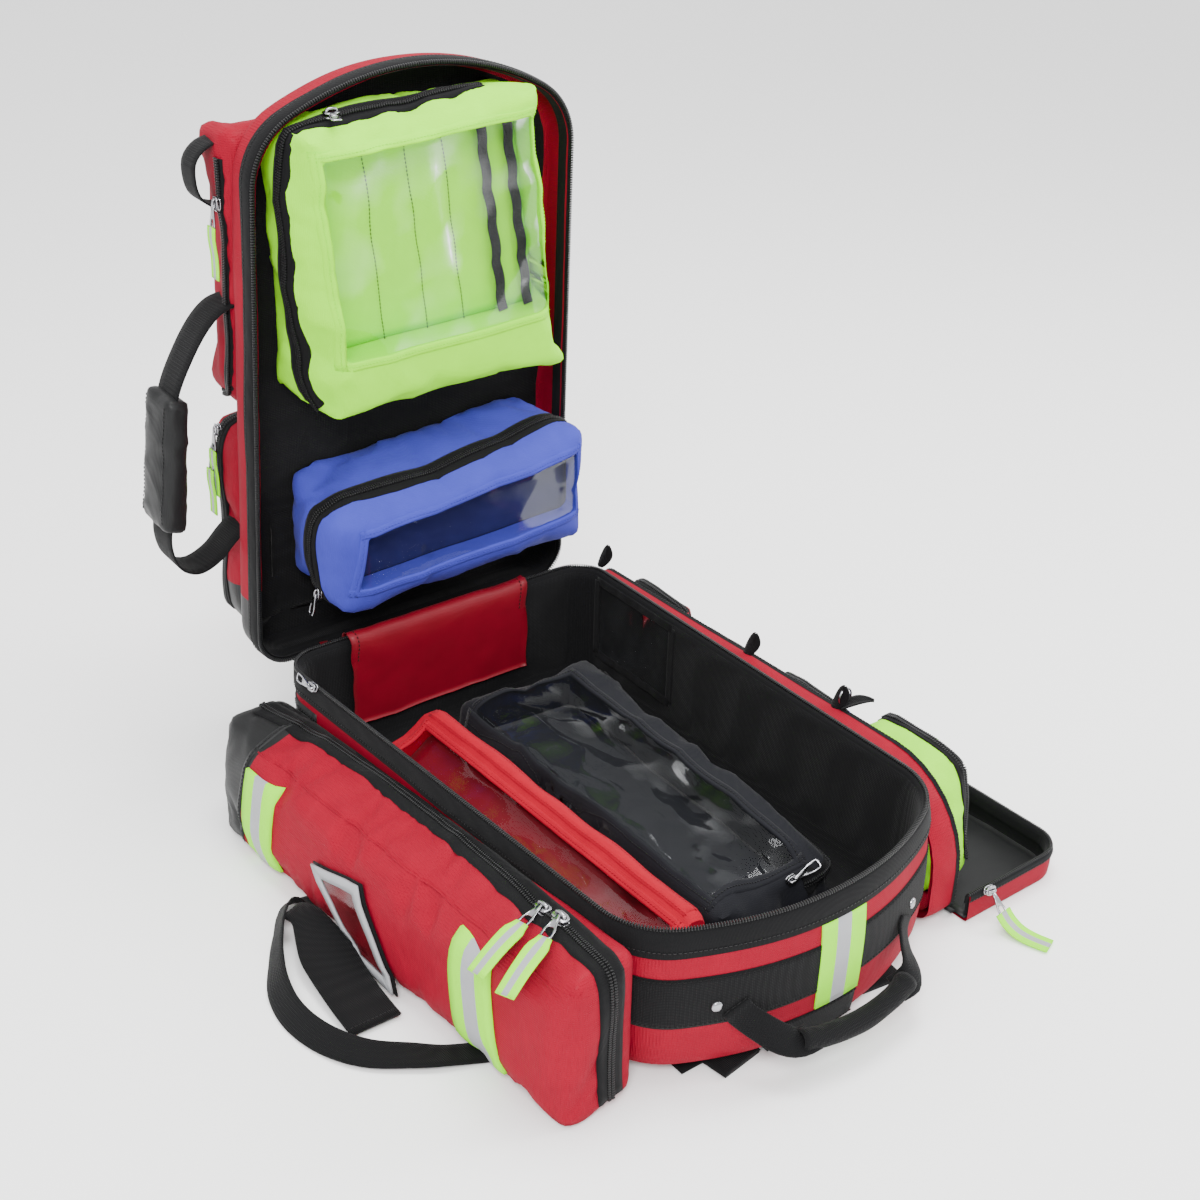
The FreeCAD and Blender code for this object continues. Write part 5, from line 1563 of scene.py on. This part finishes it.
def add_right_pocket():
    out = GUSSET_HIGH.x
    profile = [(0.0, 0.5), (0.15, -0.4), (0.4, -1.0), (0.7, -0.8), (0.92, -0.2), (1.0, 1.2), (1.0, 4.0), (0.9, 6.4),
               (0.5, 7.0), (0.1, 7.0)]
    loop = pocket_loop(0)
    rows = []
    for share, inset in profile:
        row = []
        for place, normal in loop:
            x = side_at(place.y) + 0.8 * MM
            x += (out - x) * share
            push = noise.noise(Vector((share * 1.4, place.y * 11, place.z * 11))) * 1.8 * math.sin(math.pi * share)
            spot = place + normal * (push - inset) * MM
            row.append(Vector((x, spot.y, spot.z)))
        rows.append(row)
    build("right_gusset_cloth", *sheet_grid(rows, close_columns=True), RED, "body", "shell_red",
          ["right_pocket_gusset"])
    rows, crown = [], []
    for place, normal in loop:
        row = [Vector((out + x * MM, 0, 0)) + place - normal * inset * MM for x, inset in
               ((-5, -0.9), (-1, -1.2), (0.6, -0.3), (1.2, 2.2), (1.2, 5), (0.4, 8.4), (-3, 9.4))]
        rows.append(row)
        crown.append(row[3] - Vector((0.3 * MM, 0, 0)))
    verts, faces = sheet_grid(rows, close_rows=True)
    parts = [(verts, faces, 0), (*teeth(crown + crown[:1], EAST, 0.0, 3.6 * MM), 1),
             (*stitch_row([row[1] for row in rows] + [rows[0][1]], [n for _, n in loop] + [loop[0][1]], 0.3 * MM), 1)]
    assemble("right_pocket_coil", parts, [TAPE, COIL], "body", "zip_black", ["right_pocket_zip"])
    add_flap()
    add_small_pouches()
    add_petals()


FLAP_CORNER = 32 * MM


def flap_path(offset, step=7 * MM):
    """The tray's open U outline in plan with outward directions, from the near hinge end to the far one."""
    low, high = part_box("side_flap")
    found = [(Vector((low.x, low.y - offset, 0)), Vector((0, -1, 0)))]
    radius = FLAP_CORNER + offset
    for cx, cy, start in ((high.x - FLAP_CORNER, low.y + FLAP_CORNER, -90),
                          (high.x - FLAP_CORNER, high.y - FLAP_CORNER, 0)):
        for k in range(9):
            angle = math.radians(start + 90 * k / 8)
            normal = Vector((math.cos(angle), math.sin(angle), 0))
            found.append((Vector((cx, cy, 0)) + normal * radius, normal))
    found.append((Vector((low.x, high.y + offset, 0)), Vector((0, 1, 0))))
    path = []
    for (a, na), (b, nb) in zip(found, found[1:]):
        parts = max(1, round((b - a).length / step))
        path += [(a.lerp(b, k / parts), na.lerp(nb, k / parts).normalized()) for k in range(parts)]
    return path + [found[-1]]


def add_flap():
    """The pocket's outer half: a shallow tray of red cloth, coated inside, with a zip round its rim."""
    low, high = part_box("side_flap")
    path = flap_path(0)
    wave = [noise.noise(Vector((p.x * 12, p.y * 12, 0))) for p, _ in path]
    rows = []
    for offset, z in ((-4, 1.2), (-1, 1.4), (0.2, 4), (0.8, 12), (0.8, 22), (0, 29), (-1.2, 31.5), (-3.2, 31),
                      (-3.6, 22), (-3.6, 8), (-5, 3.6),
                      (-16, 3.4)):
        rows.append([p + n * (offset + w * (1.2 if 4 < z < 30 else 0)) * MM + UP * z * MM
                     for (p, n), w in zip(path, wave)])
    verts, faces = sheet_grid(rows)
    width = len(path)
    indices = [0 if i // (width - 1) < 7 else 1 for i in range(len(faces))]
    faces.append(tuple(range(width)))
    indices.append(0)
    build("side_flap_tray", verts, faces, [RED, TAPE], "side_flap", "shell_red", ["side_flap"], indices)
    rows = []
    for j in range(41):
        y = low.y + 3.4 * MM + (high.y - low.y - 6.8 * MM) * j / 40
        row = []
        for i in range(13):
            x = low.x + 0.5 * MM + (high.x - low.x - 4.2 * MM) * i / 12
            z = 4.2 + 1.7 * abs(noise.noise(Vector((x * 13, y * 9, 2)))) + 0.8 * noise.noise(Vector((x * 30, y * 30,
                    7)))
            spot = Vector((x, y, z * MM))
            over = Vector((max(0, x - high.x + FLAP_CORNER),
                           max(0, y - high.y + FLAP_CORNER) + min(0, y - low.y - FLAP_CORNER), 0))
            reach = FLAP_CORNER - 5 * MM
            if over.length > reach and over.x and over.y:
                spot -= over * (1 - reach / over.length)
            row.append(spot)
        rows.append(row)
    build("side_flap_floor", *skirted(rows, UP, 1.6 * MM)[:2], GUARD, "side_flap", "guard_black")
    rows, crown = [], []
    for (p, n), w in zip(path, wave):
        row = [p + n * (offset + w) * MM + UP * z * MM
               for offset, z in ((1.4, 24), (1.9, 28), (1.3, 31.6), (-0.8, 32.6), (-3.4, 32),
                                                                        (-5.2, 28), (-5.6, 19))]
        rows.append(row)
        crown.append(row[3] - UP * 0.2 * MM)
    verts, faces = sheet_grid(rows)
    parts = [(verts, faces, 0), (*teeth(crown, UP, 0.0, 3.4 * MM), 1),
             (*stitch_row([row[0].lerp(row[1], 0.5) for row in rows], [n for _, n in path], 0.4 * MM), 1)]
    assemble("side_flap_rim_zip", parts, [TAPE, COIL], "side_flap", "zip_black", ["side_flap_zip"])
    rows = []
    for k in range(9):
        x = GUSSET_HIGH.x - 4 * MM + (low.x + 20 * MM - GUSSET_HIGH.x + 4 * MM) * k / 8
        z = 6.4 - 3.6 * fade(k, 0, 5)
        rows.append([Vector((x, low.y + 14 * MM + (high.y - low.y - 28 * MM) * j / 60,
                             (z + 0.5 * noise.noise(Vector((k * 0.4, j * 0.6, 3)))) * MM)) for j in range(61)])
    web = build("side_flap_hinge_cloth", *skirted(rows, UP, 1.0 * MM)[:2], GUARD, None, "guard_black")
    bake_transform(web)
    add_flap_slider(low)


def add_flap_slider(low):
    runner_low, runner_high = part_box("side_flap_slider")
    at = Vector(((runner_low.x + runner_high.x) / 2, low.y - 1.6 * MM, 30 * MM))
    add_slider("side_flap_slider_cast", at, (-1, 0, 0.1), (0, -1, 0.25), "side_flap_pull", ["side_flap_slider"])
    root = at + SOUTH * 6.6 * MM + UP * 1 * MM
    end = root + Vector(mm(-1, -17, -16))
    add_pull("side_flap_pull_plate", root, end - root, (0, -0.7, 0.7), "side_flap_pull_tag", 27 * MM, 10 * MM)
    route = [end + Vector((0, 2 * MM, 3 * MM)), end + Vector(mm(1, -5, -4)), mm(238, -309, 5.5),
             mm(242, -322, 3.2), mm(248, -338, 2.6)]
    ups = [(0, -0.7, 0.7), (0, -0.6, 0.8), (0, -0.3, 1), (0, -0.1, 1), (0, 0, 1)]
    ribbon("side_flap_tag_tape", route, ups, 19 * MM, [LIME, SILVER], "side_flap_pull_tag", "reflective_tape",
           1.8 * MM,
           LIME_SILVER_LIME, ["side_flap_tag"])


def add_small_pouches():
    looks = {"red": (POUCH_RED, 164, 272, 264, 138, "pouch_red"),
             "black": (CHARCOAL, 40, 158, 255, 135, "pouch_black"),
             "blue": (BLUE, -86, 30, 260, 137, "pouch_blue"), "green": (GREEN, -240, -90, 286, 138, "pouch_green")}
    for seed, (colour, (material, y0, y1, out, top, slot)) in enumerate(looks.items()):
        body = f"small_{colour}_kit"
        name = f"small_{colour}_pouch_cloth"
        wall = side_at(0) + 5 * MM
        y0, y1 = y0 * MM + 4 * MM, y1 * MM - 4 * MM
        lean = 42 * MM if colour == "green" else 10 * MM
        base = [(wall, y0, 17 * MM), (wall, y1, 17 * MM), (wall, y1, 126 * MM), (wall, y0 + lean * 0.8, 126 * MM)]
        foot = out - (28 if colour == "green" else 10)
        crown = [(foot * MM, y0 + 8 * MM, 22 * MM), (foot * MM, y1 - 8 * MM, 22 * MM),
                 ((out - 16) * MM, y1 - 7 * MM, (top - 8) * MM), ((out - 14) * MM, y0 + lean, (top - 12) * MM)]
        pouch = soft_box(name, base, crown, 12 * MM, material)
        inflate(pouch, 6 * MM, 9 * MM, 0.05, 6.0, lambda p, wall=wall: 1.0 if p.x < wall + 5 * MM else 0.0)
        crumple(pouch, 2.0 * MM, 16, 20.0 + seed, 1.5, lambda p, wall=wall: fade(p.x, wall + 4 * MM, wall + 14 * MM))
        settle(pouch, body, slot, [f"small_pouch_{colour}"])
        skin = Surface(pouch)
        route = [((out - 24) * MM, y1 - 2 * MM, 40 * MM), ((out - 24) * MM, y1 - 6 * MM, 96 * MM),
                 ((out - 28) * MM, y1 - 20 * MM, (top - 6) * MM),
                 ((out - 30) * MM, (y0 + y1) / 2, (top - 2) * MM), ((out - 28) * MM, y0 + lean * 0.9 + 10 * MM,
                                                                    (top - 8) * MM),
                 ((out - 24) * MM, y0 + lean * 0.4 + 4 * MM, 92 * MM), ((out - 24) * MM, y0 + 2 * MM, 36 * MM)]
        outs = [NORTH, NORTH, UP + NORTH * 0.8, UP, UP - NORTH * 0.8, UP * 0.2 - NORTH, -NORTH]
        zip_piece = laid_zip(f"small_{colour}_zip", skin, route, outs, body, width=17 * MM, step=6 * MM)
        for piece in (pouch, zip_piece):
            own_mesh(piece)


def petal(root, tip, up, width):
    """A pointed tab: a leaf of webbing, cupped along its length."""
    root, tip = Vector(root), Vector(tip)
    rows = []
    for k in range(13):
        f = k / 12
        line = root.lerp(tip, f) + up * math.sin(math.pi * f) * 4 * MM
        side = (tip - root).cross(up).normalized()
        half = width / 2 * (math.sin(math.pi * (0.12 + 0.88 * f)) ** 0.7) + 0.6 * MM
        rows.append([line + side * half * s + up * (abs(s) * 2.4 * MM) for s in (-1, -0.6, 0, 0.6, 1)]
                    + [line + side * half * s + up * (abs(s) * 2.4 - 1.4) * MM for s in (0.9, 0, -0.9)])
    verts, faces = sheet_grid(rows, close_columns=True)
    count = len(rows[0])
    faces += [tuple(range(count)), tuple(12 * count + k for k in range(count))]
    return verts, faces, 0


def add_petals():
    parts = []
    for y in (287, 45, -82):
        foot = (203 * MM, y * MM, 146 * MM)
        parts.append(petal(foot, (209 * MM, (y - 6) * MM, 172 * MM), Vector((1, 0, 0.2)), 15 * MM))
        if y < 0:
            parts.append(petal((207 * MM, (y - 6) * MM, 148 * MM), (236 * MM, (y - 22) * MM, 154 * MM), UP, 15 * MM))
    assemble("pouch_petals", parts, WEBBING, "body", "webbing_black", ["pouch_tabs"])
    ring = [Vector((214 * MM + 8 * MM * math.cos(a), -86 * MM, 158 * MM + 9 * MM * math.sin(a)))
            for a in (2 * math.pi * k / 20 for k in range(20))]
    verts, faces = sweep(ring, Vector((0, 1, 0)), round_section(1.0 * MM, 8), closed=True)
    build("petal_ring", verts, faces, NICKEL, "body", "metal_nickel")


# ---------------------------------------------------------------- handle on the rounded end
def end_y(x):
    return -BASE_Y + END_CROWN - math.sqrt(END_CROWN ** 2 - x * x)


def add_grab_handle():
    grip_low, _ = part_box("grab_handle_grip")
    out = grip_low.y + 17 * MM
    left = [(-100, 74), (-94, 65), (-84, 55), (-73, 47), (-60, 42), (-44, 40)]
    for word, side, shift in (("left", -1, 0), ("right", 1, 10)):
        route, ups = [], []
        for k, (x, z) in enumerate(left):
            px = side * abs(x) * MM + (shift * MM * fade(k, 1, 4))
            share = fade(k, 0.6, 4.2)
            y = (end_y(px) - 8.6 * MM) * (1 - share) + (out + 2 * MM) * share
            route.append((px, y, z * MM))
            ups.append(Vector((side * 0.35, -1, 0)).lerp(Vector((side * 0.5, -0.35, 0.9)), fade(k, 1, 4)))
        strap = ribbon(f"grab_strap_{word}", route, ups, 24 * MM, WEBBING, None, "webbing_black", 2.6 * MM,
                       replaces=["grab_handle_webbing"] if side < 0 else ())
        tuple(route[0])
        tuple(route[-2])
        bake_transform(strap)
    domes = []
    for x in (-112 * MM, 112 * MM):
        centre = Vector((x, end_y(x), 77 * MM))
        outward = Vector((x / END_CROWN, -1, 0)).normalized()
        side = outward.cross(UP).normalized()
        rings = [[centre + outward * rise * MM + (side * math.cos(a) + UP * math.sin(a)) * radius * MM
                  for a in (2 * math.pi * k / 16 for k in range(16))] for radius, rise in ((5.2, 3), (5.2, 7.2),
                          (4.6, 8.2), (2.8, 8.9), (0.6, 9.2))]
        verts, faces = sheet_grid(rings, close_columns=True)
        faces.append(tuple(len(verts) - 16 + k for k in range(16)))
        domes.append((verts, faces, 0))
    assemble("handle_rivet_domes", domes, NICKEL, "body", "metal_nickel", ["handle_rivets"])
    path = smooth_line([Vector((x * MM, out + y * MM, z * MM)) for x, y, z in
                        ((-58, 3, 42), (-34, -3, 39.4), (5, -6, 37), (44, -3, 39.4), (68, 3, 42))], 5 * MM)
    rows = []
    frames = frames_along(path, UP)
    count = len(frames)
    for k, (point, along, side, up) in enumerate(frames):
        ripple = 1 + 0.05 * noise.noise(point * 60)
        rows.append([point + (side * math.cos(a) * 9.8 + up * math.sin(a) * 9.0) * MM * ripple * (1.06 if k in (1,
                count - 2) else 1)
                     for a in (2 * math.pi * j / 20 for j in range(20))])
    for frame_at, where, inward in ((frames[0], 0, 1), (frames[-1], -1, -1)):
        point, along, side, up = frame_at
        mouth = [[point + along * inward * deep * MM + (side * math.cos(a) * 7.6 + up * math.sin(a) * 6.8) * MM
                  for a in (2 * math.pi * j / 20 for j in range(20))] for deep in (0.4, 7)]
        rows = [mouth[1], mouth[0], *rows] if where == 0 else [*rows, *mouth]
    verts, faces = sheet_grid(rows, close_columns=True)
    faces += [tuple(range(20)), tuple(len(verts) - 20 + j for j in range(20))]
    seam = [point - up * 9.3 * MM for point, _, _, up in frames[1:-1]]
    parts = [(verts, faces, 0), (*stitch_row(seam, [-up for _, _, _, up in frames[1:-1]], 0.3 * MM), 1)]
    grip = assemble("grab_grip_pad", parts, [WEBBING, COIL], "grab_handle", "webbing_black", ["grab_handle_grip"])


# ---------------------------------------------------------------- harness under the bag
def add_harness():
    low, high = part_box("back_pad")
    base = [(low.x + 3 * MM, low.y + 4 * MM, 0.8 * MM), (high.x - 3 * MM, low.y + 4 * MM, 0.8 * MM),
            (high.x - 3 * MM, high.y - 4 * MM, 0.8 * MM),
            (low.x + 3 * MM, high.y - 4 * MM, 0.8 * MM)]
    top = [(x, y, high.z - 0.4 * MM) for x, y, _ in base]
    pad = soft_box("back_pad_cloth", base, top, 2.6 * MM, KNIT)
    inflate(pad, 4.5 * MM, 0.6 * MM, 0.0, 0.5, lambda p: 0.9)
    for vertex in pad.data.vertices:
        vertex.co.z = min(high.z, max(0.3 * MM, vertex.co.z))
    settle(pad, "body", "lining_black", ["back_pad"])
    for side, word in ((-1, "left"), (1, "right")):
        route = [(side * x * MM, y * MM, 3.1 * MM)
                 for x, y in ((84, -284), (91, -234), (98, -180), (108, -80), (118, 20), (116, 90), (112, 149))]
        strap = ribbon(f"shoulder_strap_{word}_pad", route, UP, 43 * MM, WEBBING, "body", "webbing_black", 5.4 * MM,
                       replaces=[f"shoulder_strap_{word}"])
    for index, x in enumerate((-121, -86, -45)):
        y = end_y(x * MM)
        tail = [(x * MM, y + 40 * MM, 3.4 * MM), (x * MM, y + 22 * MM, 2.6 * MM), (x * MM, y + 7 * MM, 2.0 * MM)]
        ribbon(f"strap_tail_{index}", tail, UP, 22 * MM, WEBBING, "body", "webbing_black", 2.0 * MM)


def add_main_slider():
    low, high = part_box("main_zip_slider")
    at = Vector((high.x - 0.5 * MM, low.y + 8 * MM, RIM - 1 * MM))
    add_slider("main_slider_cast", at, (0, 1, 0), (-1, 0, 0.35), "main_pull", ["main_zip_slider"])
    add_pull("main_slider_pull", at + WEST * 6 * MM + UP * 2 * MM, (0.12, 1, -0.1), (-1, 0, 0.35), "main_pull",
             30 * MM)


# ---------------------------------------------------------------- CAD nodes that stay
def flatten_hung_pouches():
    """Gives each piece of the hung blue pouch its own copy of its mesh; nothing flattens it."""
    for piece in [p for p in bpy.context.scene.objects if p.name.startswith("blue_") and p.name not in frame["nodes"]]:
        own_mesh(piece)


def finish_cad_nodes():
    """The strap buckles under the bag are hard pieces and stay as they are, with a moulded surface."""
    for slot in frame["nodes"]["strap_buckles"].material_slots:
        slot.material = PLASTIC


add_camera()
add_studio()
add_walls()
add_body_rim()
add_near_end()
add_left_pocket()
add_side_handle()
add_lid_shell()
add_lid_cushions()
add_lid_handle()
add_hinge_cloth()
add_green_pouch()
add_blue_pouch()
add_black_pouch()
add_red_pouch()
add_inner_pocket()
add_right_pocket()
add_grab_handle()
add_harness()
add_main_slider()
flatten_hung_pouches()
finish_cad_nodes()
